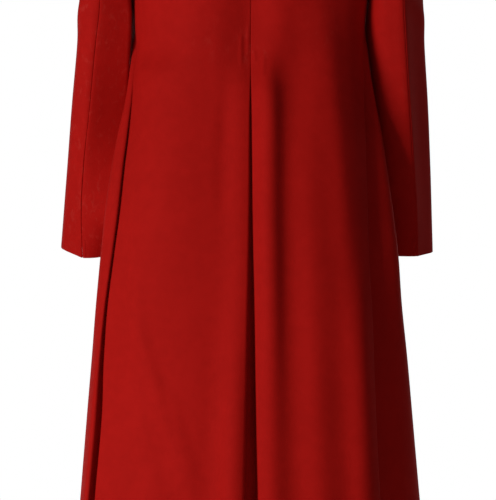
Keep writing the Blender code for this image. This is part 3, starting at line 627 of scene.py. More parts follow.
def add_mesh(name: str, vertices: Array, faces: Array, weave: Array,
             rubbed: Optional[Array] = None) -> bpy.types.Object:
    """Put vertices and quads, with their cloth coordinates, into a smooth mesh in the scene.

    Args:
        name: Name of the object and its mesh.
        vertices: Places of the vertices.
        faces: Four vertex numbers a face.
        weave: Place on the cut cloth of each vertex, in metres.
        rubbed: How rubbed the cloth is at each vertex.

    Returns:
        The new object.
    """
    mesh = bpy.data.meshes.new(name)
    mesh.from_pydata(vertices, [], faces)
    layer = mesh.uv_layers.new(name="cloth")
    layer.data.foreach_set("uv", weave[faces.ravel()].ravel())
    if rubbed is not None:
        mark = mesh.attributes.new("rubbed", "FLOAT", "POINT")
        mark.data.foreach_set("value", rubbed)
    mesh.shade_smooth()
    piece = bpy.data.objects.new(name, mesh)
    bpy.context.scene.collection.objects.link(piece)
    return piece


# ======================================================================= finishes

def linear(hex_colour: str) -> tuple[float, float, float, float]:
    """Linear colour of an sRGB hex value, by the sRGB curve of each channel.

    Args:
        hex_colour: Six hex digits.

    Returns:
        Red, green, blue and an alpha of 1.
    """
    channels = [int(hex_colour[i:i + 2], 16) / 255 for i in (0, 2, 4)]
    red, green, blue = (
        c / 12.92 if c <= 0.04045 else ((c + 0.055) / 1.055) ** 2.4 for c in channels
    )
    return red, green, blue, 1.0


def add_node(tree: bpy.types.NodeTree, kind: str, settings: dict[str, Any],
             inputs: dict[Any, Any]) -> bpy.types.Node:
    """Add a node with its settings, values and links.

    Args:
        tree: The material's or the world's node tree.
        kind: Blender's name of the node's type.
        settings: Properties of the node.
        inputs: Values, or output sockets to link, by the input's name or number.

    Returns:
        The new node.
    """
    node = tree.nodes.new(kind)
    for name, value in settings.items():
        setattr(node, name, value)
    for key, value in inputs.items():
        if isinstance(value, bpy.types.NodeSocket):
            tree.links.new(value, node.inputs[key])
        else:
            node.inputs[key].default_value = value
    return node


def noise(tree: bpy.types.NodeTree, place: bpy.types.NodeSocket, size: float,
          **values: float) -> bpy.types.NodeSocket:
    """Add a noise with three levels of detail.

    Args:
        tree: The node tree.
        place: Where to read it.
        size: Size of its swells, metres.
        values: The node's other values, by name.

    Returns:
        The socket of its height, from 0 to 1.
    """
    inputs = {"Vector": place, "Scale": 1 / size, "Detail": 3.0, **values}
    return add_node(tree, "ShaderNodeTexNoise", {}, inputs).outputs["Fac"]


def new_material(name: str, **values: Any) -> tuple[bpy.types.Material, bpy.types.Node]:
    """Make a material.

    Args:
        name: Its name.
        values: The Principled shader's values, with underscores in their names for spaces.

    Returns:
        The material and its shader.
    """
    made = bpy.data.materials.new(name)
    made.use_nodes = True
    shader = made.node_tree.nodes["Principled BSDF"]
    for key, value in values.items():
        shader.inputs[key.replace("_", " ")].default_value = value
    return made, shader


WAVE_BANDS = 20
WAVE_DIAGONAL = 10


@dataclass(frozen=True)
class Worsted:
    """Scarlet worsted twill, piece-dyed and pressed: matte, with a fine diagonal weave.

    The eye sees a deep even red with a faint mottle, a soft bloom where the cloth turns away, and
    small pale flecks where the nap is rubbed. A wave texture turns once where its scale times
    the distance is a full turn over WAVE_BANDS, or over WAVE_DIAGONAL along the diagonal.
    """

    name: str = "scarlet_worsted_twill"
    colour: str = "B61510"
    shade: str = "AF130E"
    fleck: str = "C8463C"
    broad: float = 0.110            # size of the dye's broad patches, metres
    mottle: float = 0.016           # of its fine ones
    speck: float = 0.0085           # and of the rubbed flecks
    twill: float = 0.0007           # one diagonal rib
    twill_angle: float = 27.0       # degrees the ribs are turned from the warp
    bump: float = 0.00005           # height of a rib
    roughness: float = 0.78
    specular: float = 0.06
    sheen: float = 0.07
    sheen_roughness: float = 0.45
    tones: tuple[float, float] = (0.72, 1.28)       # sum of the noises at the shade and the colour
    speck_stretch: float = 0.55     # how drawn out upward the flecks are
    specks: tuple[float, float] = (0.54, 0.78)      # noise at which they start and are full
    most_rubbed: float = 0.34       # share of the fleck's colour in them

    def material(self) -> bpy.types.Material:
        """Build the nodes: two noises mottle the dye and a third lays flecks where it is rubbed.

        Returns:
            The new material.
        """
        made, shader = new_material(
            self.name, Roughness=self.roughness, Specular_IOR_Level=self.specular,
            Sheen_Weight=self.sheen, Sheen_Roughness=self.sheen_roughness,
            Sheen_Tint=linear(self.fleck),
        )
        tree = made.node_tree
        place = add_node(tree, "ShaderNodeTexCoord", {}, {}).outputs["Object"]
        weave = add_node(tree, "ShaderNodeUVMap", {"uv_map": "cloth"}, {}).outputs["UV"]

        broad = noise(tree, place, self.broad, Roughness=0.55)
        mottle = noise(tree, place, self.mottle, Roughness=0.6)
        both = add_node(tree, "ShaderNodeMath", {"operation": "ADD"}, {
            0: broad, 1: mottle,
        }).outputs[0]
        tone = add_node(tree, "ShaderNodeMapRange", {"interpolation_type": "SMOOTHSTEP"}, {
            "Value": both, "From Min": self.tones[0], "From Max": self.tones[1],
        }).outputs["Result"]
        dyed = add_node(tree, "ShaderNodeMix", {"data_type": "RGBA"}, {
            "Factor": tone, 6: linear(self.shade), 7: linear(self.colour),
        }).outputs[2]

        rubbed = add_node(tree, "ShaderNodeAttribute", {"attribute_name": "rubbed"}, {})
        drawn = add_node(tree, "ShaderNodeMapping", {}, {
            "Vector": place, "Scale": (1.0, 1.0, self.speck_stretch),
        }).outputs["Vector"]
        grain = noise(tree, drawn, self.speck, Roughness=0.6, Distortion=0.8)
        flecks = add_node(tree, "ShaderNodeMapRange", {"interpolation_type": "SMOOTHSTEP"}, {
            "Value": grain, "From Min": self.specks[0], "From Max": self.specks[1],
            "To Max": self.most_rubbed,
        }).outputs["Result"]
        worn = add_node(tree, "ShaderNodeMath", {"operation": "MULTIPLY"}, {
            0: flecks, 1: rubbed.outputs["Fac"],
        }).outputs[0]
        colour = add_node(tree, "ShaderNodeMix", {"data_type": "RGBA"}, {
            "Factor": worn, 6: dyed, 7: linear(self.fleck),
        }).outputs[2]

        turned = add_node(tree, "ShaderNodeMapping", {}, {
            "Vector": weave, "Rotation": (0.0, 0.0, math.radians(self.twill_angle)),
        }).outputs["Vector"]
        ribs = add_node(tree, "ShaderNodeTexWave", {"bands_direction": "X"}, {
            "Vector": turned, "Scale": math.tau / (WAVE_BANDS * self.twill),
            "Distortion": 0.6, "Detail": 1.0,
        }).outputs["Fac"]
        bump = add_node(tree, "ShaderNodeBump", {}, {
            "Height": ribs, "Strength": 0.6, "Distance": self.bump,
        }).outputs["Normal"]

        tree.links.new(colour, shader.inputs["Base Color"])
        tree.links.new(bump, shader.inputs["Normal"])
        return made


@dataclass(frozen=True)
class SewingThread:
    """Mercerised cotton thread: smoother and shinier than the cloth, with its twist."""

    name: str = "mercerised_cotton_thread"
    colour: str = "A81815"
    twist: float = 0.0009           # one turn of the strands, metres
    bump: float = 0.00008           # height of a strand

    def material(self) -> bpy.types.Material:
        """Build the nodes: a plain colour, and waves across the thread for its strands.

        Returns:
            The new material.
        """
        made, shader = new_material(
            self.name, Base_Color=linear(self.colour), Roughness=0.5, Specular_IOR_Level=0.3,
        )
        tree = made.node_tree
        weave = add_node(tree, "ShaderNodeUVMap", {"uv_map": "cloth"}, {}).outputs["UV"]
        twist = add_node(tree, "ShaderNodeTexWave", {"bands_direction": "DIAGONAL"}, {
            "Vector": weave, "Scale": math.tau / (WAVE_DIAGONAL * self.twist),
        }).outputs["Fac"]
        bump = add_node(tree, "ShaderNodeBump", {}, {
            "Height": twist, "Strength": 0.7, "Distance": self.bump,
        }).outputs["Normal"]
        tree.links.new(bump, shader.inputs["Normal"])
        return made


# ======================================================================= the cut

def neck_point(angle: Array) -> Array:
    """Find the neck's seam, an oval that is raised behind and low in front.

    The height is the rise behind, or less the drop in front, times the angle's squared cosine.

    Args:
        angle: Angles from the centre back.

    Returns:
        The seam's points.
    """
    forward = np.cos(angle) < 0
    depth = np.where(forward, -NECK_FRONT_Y, NECK_BACK_Y)
    height = np.where(forward, -NECK_FRONT_DROP, NECK_BACK_RISE) * np.cos(angle) ** 2
    return points(NECK_HALF_WIDTH * np.sin(angle), depth * np.cos(angle), height)


def neck_angle(x: Array) -> Array:
    """Angle of the neck seam's point at a distance from the centre front."""
    return math.pi - np.arcsin(x / NECK_HALF_WIDTH)


def with_big_folds(rows: Array, drops: Array, folds: Sections) -> Array:
    """Push level rows outward into broad folds.

    Args:
        rows: The rows, on fine points.
        drops: Their drops.
        folds: The folds' places along the row, widths and heights at the waist and at the hem.

    Returns:
        The rows moved outward by bells that grow, spread and drift from the waist to the hem.
    """
    lengths = travelled(rows)
    grown = np.clip((drops - FOLD_TOP) / (HEM_DROP - FOLD_TOP), 0.0, 1.0)[:, None]
    height = np.zeros_like(lengths)
    for i in range(len(folds["at_hem"])):
        centre, width, top = (
            folds[name + "_waist"][i] * (1 - grown) + folds[name + "_hem"][i] * grown
            for name in ("at", "width", "height")
        )
        started = ease((drops - FOLD_TOP + FOLD_LEAD) / FOLD_RISE)[:, None]
        height += top * started * np.exp(-((lengths - centre) / width) ** 2)
    step = np.gradient(rows, axis=1)
    outward = unit(points(-step[..., 1], step[..., 0], 0.0))
    return rows + outward * height[..., None]


@dataclass
class Panel:
    """What the back and the front panels share: their rows, their seams and how they're made up."""

    side: Side
    columns: int = 130
    yoke_rows: int = 36
    blended_rows: int = 22          # rows on each side of the armpit's that are made smooth there
    blending_passes: int = 60
    fine: int = 181                 # points of a curve before the columns are spaced along it
    creases: tuple[Crease, ...] = ()
    seed: float = 1.0

    @property
    def drops(self) -> Array:
        """Drops of the rows from the armpit to the hem, closest together round the pleats' tops.

        Returns:
            The drops, in rising order.
        """
        above, between, below = ROW_STEPS
        return np.concatenate([
            np.arange(ARMPIT_DROP, FINE_ROWS[0], above),
            np.arange(*FINE_ROWS, between),
            np.arange(FINE_ROWS[1], HEM_DROP - LAST_ROW, below),
            [HEM_DROP],
        ])

    def at_side(self, column: str) -> Array:
        """A column of the side pleat's table at this panel's rows."""
        below = self.drops - SIDE_PLEAT_TOP[self.side]
        return read(SIDE_PLEAT, column, below, key="below")

    def yoke_curves(self, yoke: Sections, backward: float) -> Array:
        """Rows of the yoke from the centre to the armhole, each a cubic Bezier curve.

        Args:
            yoke: The yoke's sections.
            backward: 1 for the back, -1 for the front.

        Returns:
            The rows, on fine points.
        """
        turn = np.radians(yoke["turn"])
        edge_x, edge_y, edge_drop = yoke["edge_x"], yoke["edge_y"], yoke["edge_drop"]
        reach = REACH * edge_x
        drop_near_edge = edge_drop + YOKE_RISE * (yoke["centre_drop"] - edge_drop)
        first_x = SEAM_INSET if backward > 0 else 0.0
        controls = [
            points(first_x, yoke["centre_y"], -yoke["centre_drop"]),
            points(REACH_CENTRE * edge_x, yoke["centre_y"], -yoke["centre_drop"]),
            points(edge_x - reach * np.cos(turn), edge_y + backward * reach * np.sin(turn),
                   -drop_near_edge),
            points(edge_x, edge_y, -edge_drop),
        ]
        return bezier(controls, np.linspace(0, 1, self.fine))

    def join_yoke(self, top: Array, yoke: Array, lower: Array) -> Array:
        """Rows from the shoulder to the armpit, smooth through the yoke and into the lower rows.

        Args:
            top: The panel's top edge.
            yoke: The yoke's rows.
            lower: The rows from the armpit down.

        Returns:
            All the panel's rows, with the top edge drawn back for its seam.
        """
        levels = np.concatenate([top[None], yoke, lower[:1]])
        slope = (lower[1] - lower[0]) * STATION_LENGTH / (self.drops[1] - self.drops[0])
        stations = np.linspace(0.0, len(levels) - 1.0, self.yoke_rows, endpoint=False)
        upper = smooth(np.arange(len(levels), dtype=float), levels, stations, last_slope=slope)
        upper[0] += unit(upper[1] - upper[0]) * SEAM_INSET
        grid = np.concatenate([upper, lower])
        away = np.abs(np.arange(len(grid)) - self.yoke_rows)[1:-1, None, None]
        hold = ease(1 - away / self.blended_rows) / 4
        for _ in range(self.blending_passes):
            grid[1:-1] += hold * (grid[:-2] - 2 * grid[1:-1] + grid[2:])
        return grid

    def inset(self) -> Array:
        """How far each row below the armpit stays from the side's seam, as a column."""
        return (self.at_side("inset") * SEAM_INSET)[:, None]

    def made_up(self, grid: Array) -> Array:
        """Turn in a panel's shoulder and neck edge and turn up its hem."""
        hemmed = np.concatenate([grid, turn_down(grid, HEM_TURN, HEM_DEPTH)])
        return np.concatenate([turn_over(grid, SEAM_TURN, ALLOWANCE), hemmed])


@dataclass
class BackPanel(Panel):
    """A back panel from shoulder to hem, with its half of the centre pleat and the side pleat."""

    neck_share: float = 0.293       # of its columns, those that end at the neck

    def outer(self) -> Array:
        """The panel's outer layer, from the centre back to the side.

        Below the armpit each row is a cubic Bezier curve from the centre back to the side, pushed
        out into the broad folds and then into the creases.

        Returns:
            The grid of its points.
        """
        drops, sections = self.drops, SIDES[self.side]
        first_x = read(CENTRE_PLEAT, "half_gap", drops) + read(CENTRE_PLEAT, "turn", drops)
        first_x += CLOTH / 2
        back_y = read(TRUNK, "back_y", drops)
        fold_x, fold_y = read(sections, "fold_x", drops), read(sections, "fold_y", drops)
        turn = np.radians(read(sections, "turn", drops))
        reach = REACH * fold_x
        controls = [
            points(first_x, back_y, -drops),
            points(REACH_CENTRE * fold_x, back_y, -drops),
            points(fold_x - reach * np.cos(turn), fold_y + reach * np.sin(turn), -drops),
            points(fold_x, fold_y, -drops),
        ]
        rows = bezier(controls, np.linspace(0, 1, self.fine))
        rows = with_big_folds(rows, drops, BIG_FOLDS["back_" + self.side.value])
        share = np.linspace(0, 1, self.columns + 1)[None, :]
        lower = walk(rows, share * (travelled(rows)[:, -1:] - self.inset()))

        curves = self.yoke_curves(BACK_YOKE, 1.0)
        yoke = walk(curves, share * (travelled(curves)[:, -1:] - SEAM_INSET))
        neck_columns = round(self.neck_share * self.columns)
        start = math.asin(SEAM_INSET / NECK_HALF_WIDTH)
        neck = neck_point(np.linspace(start, math.pi / 2, neck_columns + 1))
        along = np.linspace(0, 1, self.columns - neck_columns + 1)[1:, None]
        shoulder = neck[-1] + (np.array(SHOULDER_TIP) - neck[-1]) * along
        grid = self.join_yoke(np.concatenate([neck, shoulder]), yoke, lower)
        return self.met_at_centre(creased(grid, self.creases, self.seed))

    def centre_turn(self, grid: Array) -> Array:
        """Turn cloth in at the centre back: the seam's allowance, and below it the pleat's half.

        Args:
            grid: The outer layer.

        Returns:
            The new columns, in order from the edge.
        """
        above = np.zeros(self.yoke_rows)
        return turn_under(
            grid,
            np.concatenate([above + SEAM_TURN, read(CENTRE_PLEAT, "turn", self.drops)]),
            np.concatenate([above + ALLOWANCE, read(CENTRE_PLEAT, "depth", self.drops)]),
        )

    def met_at_centre(self, grid: Array) -> Array:
        """Slide the columns by the centre back sideways until the two edges meet at the seam.

        Each row moves by what its edge lacks to half the gap of the seam: all of it at the edge,
        none of it MEET_REACH away, and less and less of it below MEET_DROP.

        Args:
            grid: The creased outer layer.

        Returns:
            The grid with its edge at the seam.
        """
        drops = -grid[:, 0, 2]
        edge = self.centre_turn(grid)[..., 0].min(axis=1) - CLOTH / 2
        drawn = 1 - ease((drops - MEET_DROP) / MEET_FADE)
        lacking = (read(CENTRE_PLEAT, "half_gap", drops) - edge) * drawn
        aside = lacking[:, None] * (1 - ease(travelled(grid) / MEET_REACH))
        return grid + aside[..., None] * ACROSS

    def build(self) -> Array:
        """Make up the whole panel.

        Returns:
            The outer layer with the pleats' layers, the seams and the hem turned under.
        """
        outer = self.outer()
        above = np.zeros(self.yoke_rows)
        centre = self.centre_turn(outer)
        aside = turn_under_last(
            outer,
            np.concatenate([above + SEAM_TURN, self.at_side("turn")]),
            np.concatenate([above + ALLOWANCE, self.at_side("depth")]),
        )
        return self.made_up(np.concatenate([centre[:, ::-1], outer, aside], axis=1))


@dataclass
class FrontPanel(Panel):
    """A front panel from shoulder to hem: its side pleat, its main part and its lap."""

    columns: int = 104
    lap_columns: int = 22
    shoulder_share: float = 7 / 12
    extension_columns: int = 7
    strip_columns: int = 19
    groove: float = 0.0060          # how far the side pleat dips inside beside the back panel
    groove_rises: tuple[float, float] = (0.16, 0.9)     # over which it dips, and half as much more
    leaving: float = 0.42           # the plain strip's two controls, as shares of its span
    arriving: float = 0.25
    roll: float = 1.0               # how far the strip outside the groove rolls up beside it
    roll_rise: float = 0.14         # height over which the roll comes in
    back_outer: Array = field(default_factory=lambda: np.zeros((0, 0, 3)))

    def outer(self) -> Array:
        """The panel's outer layer, from the side to the edge of the lap.

        Below the armpit each row is a cubic Bezier curve from the side to the lap, pushed out
        into the broad folds, and then straight across the lap.

        Returns:
            The grid of its points.
        """
        drops, sections = self.drops, SIDES[self.side]
        outer_x, outer_y = read(sections, "outer_x", drops), read(sections, "outer_y", drops)
        front_y = read(TRUNK, "front_y", drops)
        fullness = read(TRUNK, "front_fullness", drops) * outer_x
        controls = [
            points(outer_x, outer_y, -drops),
            points(outer_x, outer_y - read(TRUNK, "side_reach", drops), -drops),
            points(fullness, front_y, -drops),
            points(LAP_STEP_X, front_y, -drops),
        ]
        rows = bezier(controls, np.linspace(0, 1, self.fine))
        rows = with_big_folds(rows, drops, BIG_FOLDS["front_" + self.side.value])
        share = np.linspace(0, 1, self.columns + 1)[None, :]
        inset = self.inset()
        main = walk(rows, inset + share * (travelled(rows)[:, -1:] - inset))
        lap_end = LAP_REACH - HEM_TURN - CLOTH / 2
        lap_x = np.linspace(LAP_STEP_X, -lap_end, self.lap_columns + 1)[None, 1:]
        lower = np.concatenate([main, points(lap_x, front_y[:, None], -drops[:, None])], axis=1)

        curves = self.yoke_curves(FRONT_YOKE, -1.0)[:, ::-1]
        to_lap = travelled(curves)[:, -1:] - LAP_STEP_X
        yoke = walk(curves, SEAM_INSET + share * (to_lap - SEAM_INSET))
        lap = points(lap_x, FRONT_YOKE["centre_y"][:, None], -FRONT_YOKE["centre_drop"][:, None])
        grid = self.join_yoke(self.top(lap_x[0]), np.concatenate([yoke, lap], axis=1), lower)
        if self.side is Side.RIGHT:
            grid[..., 1] += self.under_lap(grid)
        return creased(grid, self.creases, self.seed)

    @staticmethod
    def under_lap(grid: Array) -> Array:
        """How far the front underneath steps inward to leave room for the lap.

        Args:
            grid: The front before the step.

        Returns:
            The step, more of it where the lap is turned in at neck and hem, times the share of
            the way from where it starts to the lap's reach.
        """
        drop = -grid[..., 2]
        below_neck = ease(1 - (drop - drop[:1]) / NECK_TURNED)
        above_hem = ease((drop - HEM_DROP + HEM_DEPTH + HEM_TURNED[0]) / HEM_TURNED[1])
        under = ease((LAP_STEP_X - grid[..., 0]) / (LAP_STEP_X - LAP_REACH))
        return (LAP_STEP + LAP_TURNED * (below_neck + above_hem)) * under

    def top(self, lap_x: Array) -> Array:
        """Lay out the top edge: the shoulder seam from its tip, then the neck to the lap's edge.

        Args:
            lap_x: Distances of the lap's columns from the centre.

        Returns:
            The edge's points.
        """
        shoulder_columns = round(self.shoulder_share * self.columns)
        along = np.linspace(0, 1, shoulder_columns + 1)[:-1, None]
        shoulder = np.array(SHOULDER_TIP) * (1 - along) + neck_point(np.array(math.pi / 2)) * along
        to_lap = np.linspace(math.pi / 2, neck_angle(np.array(LAP_STEP_X)),
                             self.columns - shoulder_columns + 1)
        return np.concatenate([shoulder, neck_point(np.concatenate([to_lap, neck_angle(lap_x)]))])

    def pleat(self, outer: Array) -> Array:
        """The side pleat's columns, from under the back panel out to this panel's side.

        The extension is the back panel itself, walked back from its edge and moved down below its
        turned layer. The strip is a cubic Bezier curve that leaves it straight and meets the
        side, blended by the roll with a smooth curve through five points.

        Args:
            outer: This panel's outer layer.

        Returns:
            The columns for every row; above the armpit they are the armhole's turned edge.
        """
        back = self.back_outer[self.yoke_rows:, ::-1]
        normals = -normals_of(back)
        turn = self.at_side("turn")[:, None]
        depth = self.at_side("depth")[:, None]
        steps = np.linspace(1, 0, self.extension_columns + 1)[None, :-1]
        below = self.drops - SIDE_PLEAT_TOP[self.side]
        first_rise, second_rise = self.groove_rises
        dip = self.groove * ease(below / first_rise) * (1 + 0.5 * ease(below / second_rise))
        beneath = 2 * turn + CLOTH + LAYER_GAP + dip[:, None]
        sink = (2 * turn + CLOTH + SEWN_GAP) * steps + beneath * (1 - steps)
        extension = walk(back, steps * depth) - walk(back, steps * depth, normals) * sink[..., None]
        start = back[:, 0] - normals[:, 0] * beneath
        side = outer[self.yoke_rows:, 0]
        heading = unit(back[:, 0] - back[:, 1])
        span = np.linalg.norm(side - start, axis=-1, keepdims=True)
        arriving = side + span * np.array([0.0, self.arriving, 0.0])
        samples = np.linspace(0, 1, self.strip_columns + 1)[:-1]
        plain = bezier([start, start + heading * span * self.leaving, arriving, side], samples)

        # Rolled, it goes through the foot of the groove, a crest that moves out lower down, and
        # the shoulder of the side.
        edge = back[:, 0]
        wide, deep = side[:, 0] - edge[:, 0], edge[:, 1] - side[:, 1]
        crest = 0.24 + 0.30 * ease((below - 0.25) / 0.30)
        rolled = smooth(np.arange(5.0), np.stack([
            start,
            edge + points(0.08 * wide, -0.019, 0.0),
            edge + points(crest * wide, -0.005, 0.0),
            side + points(-0.10 * wide, 0.52 * deep, 0.0),
            side,
        ]), samples * 4)
        rolling = (self.roll * ease(below / self.roll_rise))[:, None, None]
        strip = plain * (1 - rolling) + np.swapaxes(rolled, 0, 1) * rolling
        lower = np.concatenate([extension, strip], axis=1)
        columns = self.extension_columns + self.strip_columns
        upper = turn_under(
            outer[:self.yoke_rows], SEAM_TURN, ALLOWANCE, columns=columns - TURN_COLUMNS)
        return np.concatenate([upper[:, ::-1], lower])

    def build(self) -> Array:
        """Make up the whole panel.

        Returns:
            Its pleat, its outer layer and the facing turned in at the lap, hemmed.
        """
        outer = self.outer()
        facing = turn_under_last(outer, HEM_TURN, FACING)
        return self.made_up(np.concatenate([self.pleat(outer), outer, facing], axis=1))


@dataclass
class PleatUnderlay:
    """The strip behind the centre pleat, sewn along the pleat's inner edges."""

    back_left: Array
    back_right: Array
    drops: Array
    columns: int = 12
    middle_columns: int = 9
    sag: float = 0.0140             # how far it sinks in behind the opening
    sag_rise: float = 0.5           # height over which it does

    def build(self) -> Array:
        """Build the strip.

        Each half is the back panel moved down below its turned layer, and a strip that sags by a
        half sine joins the two behind the opening.

        Returns:
            The grid from the wearer's right to the left.
        """
        kept = self.drops >= UNDERLAY_TOP
        drops = self.drops[kept]
        depth = read(CENTRE_PLEAT, "depth", drops)[:, None]
        turn = read(CENTRE_PLEAT, "turn", drops)[:, None]
        steps = np.linspace(1, 0, self.columns + 1)[None, :]
        sink = (2 * turn + CLOTH + SEWN_GAP * steps + UNDERLAY_GAP * (1 - steps))[..., None]
        halves = []
        for outer in (self.back_right, self.back_left):
            lower = outer[-len(self.drops):][kept]
            layer = walk(lower, steps * depth)
            halves.append(layer - walk(lower, steps * depth, normals_of(lower)) * sink)
        right, left = halves
        right = right * MIRROR
        share = np.linspace(0, 1, self.middle_columns + 1)[None, 1:-1, None]
        between = right[:, -1:] * (1 - share) + left[:, -1:] * share
        sunk = self.sag * ease((drops[:, None] - UNDERLAY_TOP) / self.sag_rise)
        between[..., 1] -= sunk * np.sin(math.pi * share[..., 0])
        grid = np.concatenate([right, between, left[:, ::-1]], axis=1)
        return np.concatenate([grid, turn_down(grid, HEM_TURN, HEM_DEPTH)])


@dataclass
class Sleeve:
    """A two-piece sleeve: rings along the arm, from the armhole to the cuff.

    A share of the way round runs from the outer side over the front to the armpit, at a half,
    and by the back to the outer side again.
    """

    side: Side
    creases: tuple[Crease, ...] = ()
    seed: float = 3.0
    rows: int = 130
    upper_columns: int = 62
    under_columns: int = 50
    front_seam: float = 0.315       # shares of the way round at which the two seams lie
    back_seam: float = 0.750
    girth: float = 0.32             # a usual distance round, which places the creases
    radius: float = 0.05            # a usual radius, which places the unevenness
    quiet: float = 0.04             # length below the armhole over which that comes in
    head_roll: float = 0.0014       # how far the sleeve's head stands up beside its seam,
    head_at: float = 0.013          # this far below it
    head_width: float = 0.011       # and about this wide
    slant: tuple[float, float] = (0.1, 1.1)     # what the sides lack of the skew, and more behind
    fill_start: float = 0.05        # where along the arm the back starts to fill out
    fill_length: float = 0.20       # over this length
    arch_from: float = 0.35         # on the inner side of this share of the width the back sinks
    arch_bend: float = 0.8          # how slowly the arch becomes straight
    dip_reach: float = 0.12         # share of the way round over which the cuff dips

    def armhole(self, shares: Array) -> Array:
        """Find the armhole's seam, smooth through the ends of the yoke's rows all the way round.

        Args:
            shares: Shares of the way round.

        Returns:
            The seam's points.
        """
        def edges(yoke: Sections) -> Array:
            """The ends of a yoke's rows."""
            return points(yoke["edge_x"], yoke["edge_y"], -yoke["edge_drop"])
        section = SIDES[Side.LEFT]
        tip = np.array([SHOULDER_TIP])
        foot = np.array([[section["fold_x"][0], section["fold_y"][0], -ARMPIT_DROP]])
        ring = np.concatenate([tip, edges(FRONT_YOKE), foot, edges(BACK_YOKE)[::-1]])
        closed = np.concatenate([ring[-1:], ring, ring[:2]])
        return smooth(np.arange(-1.0, 12.0), closed, (shares % 1.0) * 10)

    def surface(self, shares: Array) -> Array:
        """Points at shares round the sleeve, a skewed oval at each ring, smooth along the arm.

        Behind, the oval's sine and cosine are raised to 1 less the fullness times the sine of
        twice the angle. There the depth is also tilted by the cosine, and sunk by the arch times
        r squared over r plus the bend, where r is what the cosine lacks to the arch's start.

        Args:
            shares: Where the columns stand, as shares of the way round.

        Returns:
            The creased grid.
        """
        rings = {name: values[:, None] for name, values in SLEEVES[self.side].items()}
        half_width = (rings["outer_x"] - rings["inner_x"]) / 2
        across = np.sqrt(half_width ** 2 - rings["skew"] ** 2)
        cosine, sine = np.cos(math.tau * shares)[None, :], -np.sin(math.tau * shares)[None, :]
        behind = sine > 0
        lacking = np.abs(cosine) * (self.slant[0] + self.slant[1] * sine)
        slant = rings["skew"] * sine * (1 - lacking)
        outer, inner = SLEEVE_FULLNESS[self.side]
        filled = 2 * np.abs(cosine * sine) * np.where(cosine > 0, outer, inner) * behind
        power = 1 - filled * ease((rings["along"] - self.fill_start) / self.fill_length)
        aside = np.sign(cosine) * np.abs(cosine) ** power
        deep = np.sign(sine) * np.abs(sine) ** power
        reach = np.maximum(self.arch_from - aside, 0.0)
        sunk = rings["arch"] * reach ** 2 / (reach + self.arch_bend)
        deep = deep * (1 + (rings["tilt"] * aside - sunk) * behind)
        at_seam = np.maximum(0, 1 - np.abs(shares % 1 - self.back_seam) / self.dip_reach)
        levels = points(
            (rings["outer_x"] + rings["inner_x"]) / 2 + across * aside + slant,
            rings["middle_y"] + rings["half_depth"] * deep,
            -(rings["outer_drop"] + rings["inner_drop"]) / 2
            - (rings["outer_drop"] - rings["inner_drop"]) / 2 * aside
            - rings["dip"] * at_seam[None, :],
        )
        lengths = np.concatenate([[0.0], SLEEVES[self.side]["along"]])
        along = np.linspace(SEAM_INSET, lengths[-1], self.rows)
        grid = smooth(lengths, np.concatenate([self.armhole(shares)[None], levels]), along)
        height = unevenness(
            self.radius * cosine, along[:, None] + self.radius * sine, self.seed)
        roll = np.exp(-((along[:, None] - self.head_at) / self.head_width) ** 2)
        roll = roll * (0.5 + 0.5 * cosine)
        height = height * ease(along / self.quiet)[:, None] + self.head_roll * roll
        for crease in self.creases:
            height = height + crease.relief(shares[None, :] * self.girth, along[:, None])
        return grid + normals_of(grid) * height[..., None]

    def half(self, start: float, end: float, columns: int) -> Array:
        """Make up one piece of the sleeve, its edges turned in and its cuff turned up.

        Args:
            start: Share of the way round at its first seam.
            end: And at its last.
            columns: Its columns.

        Returns:
            The grid of its points.
        """
        grid = self.surface(np.linspace(start, end, columns + 1))
        room = travelled(grid)[:, -1:] - 2 * SEAM_INSET
        grid = walk(grid, SEAM_INSET + np.linspace(0, 1, columns + 1)[None, :] * room)
        first = turn_under(grid, SEAM_TURN, ALLOWANCE, columns=3)[:, ::-1]
        last = turn_under_last(grid, SEAM_TURN, ALLOWANCE, columns=3)
        whole = np.concatenate([first, grid, last], axis=1)
        cuffed = np.concatenate([whole, turn_down(whole, HEM_TURN, CUFF_DEPTH)])
        return np.concatenate([turn_over(whole, SEAM_TURN, ALLOWANCE), cuffed])

    def upper(self) -> Array:
        """The upper piece, from the back seam over the outer side to the front seam."""
        return self.half(self.back_seam, 1 + self.front_seam, self.upper_columns)

    def under(self) -> Array:
        """The under piece, from the front seam by the armpit to the back seam."""
        return self.half(self.front_seam, self.back_seam, self.under_columns)


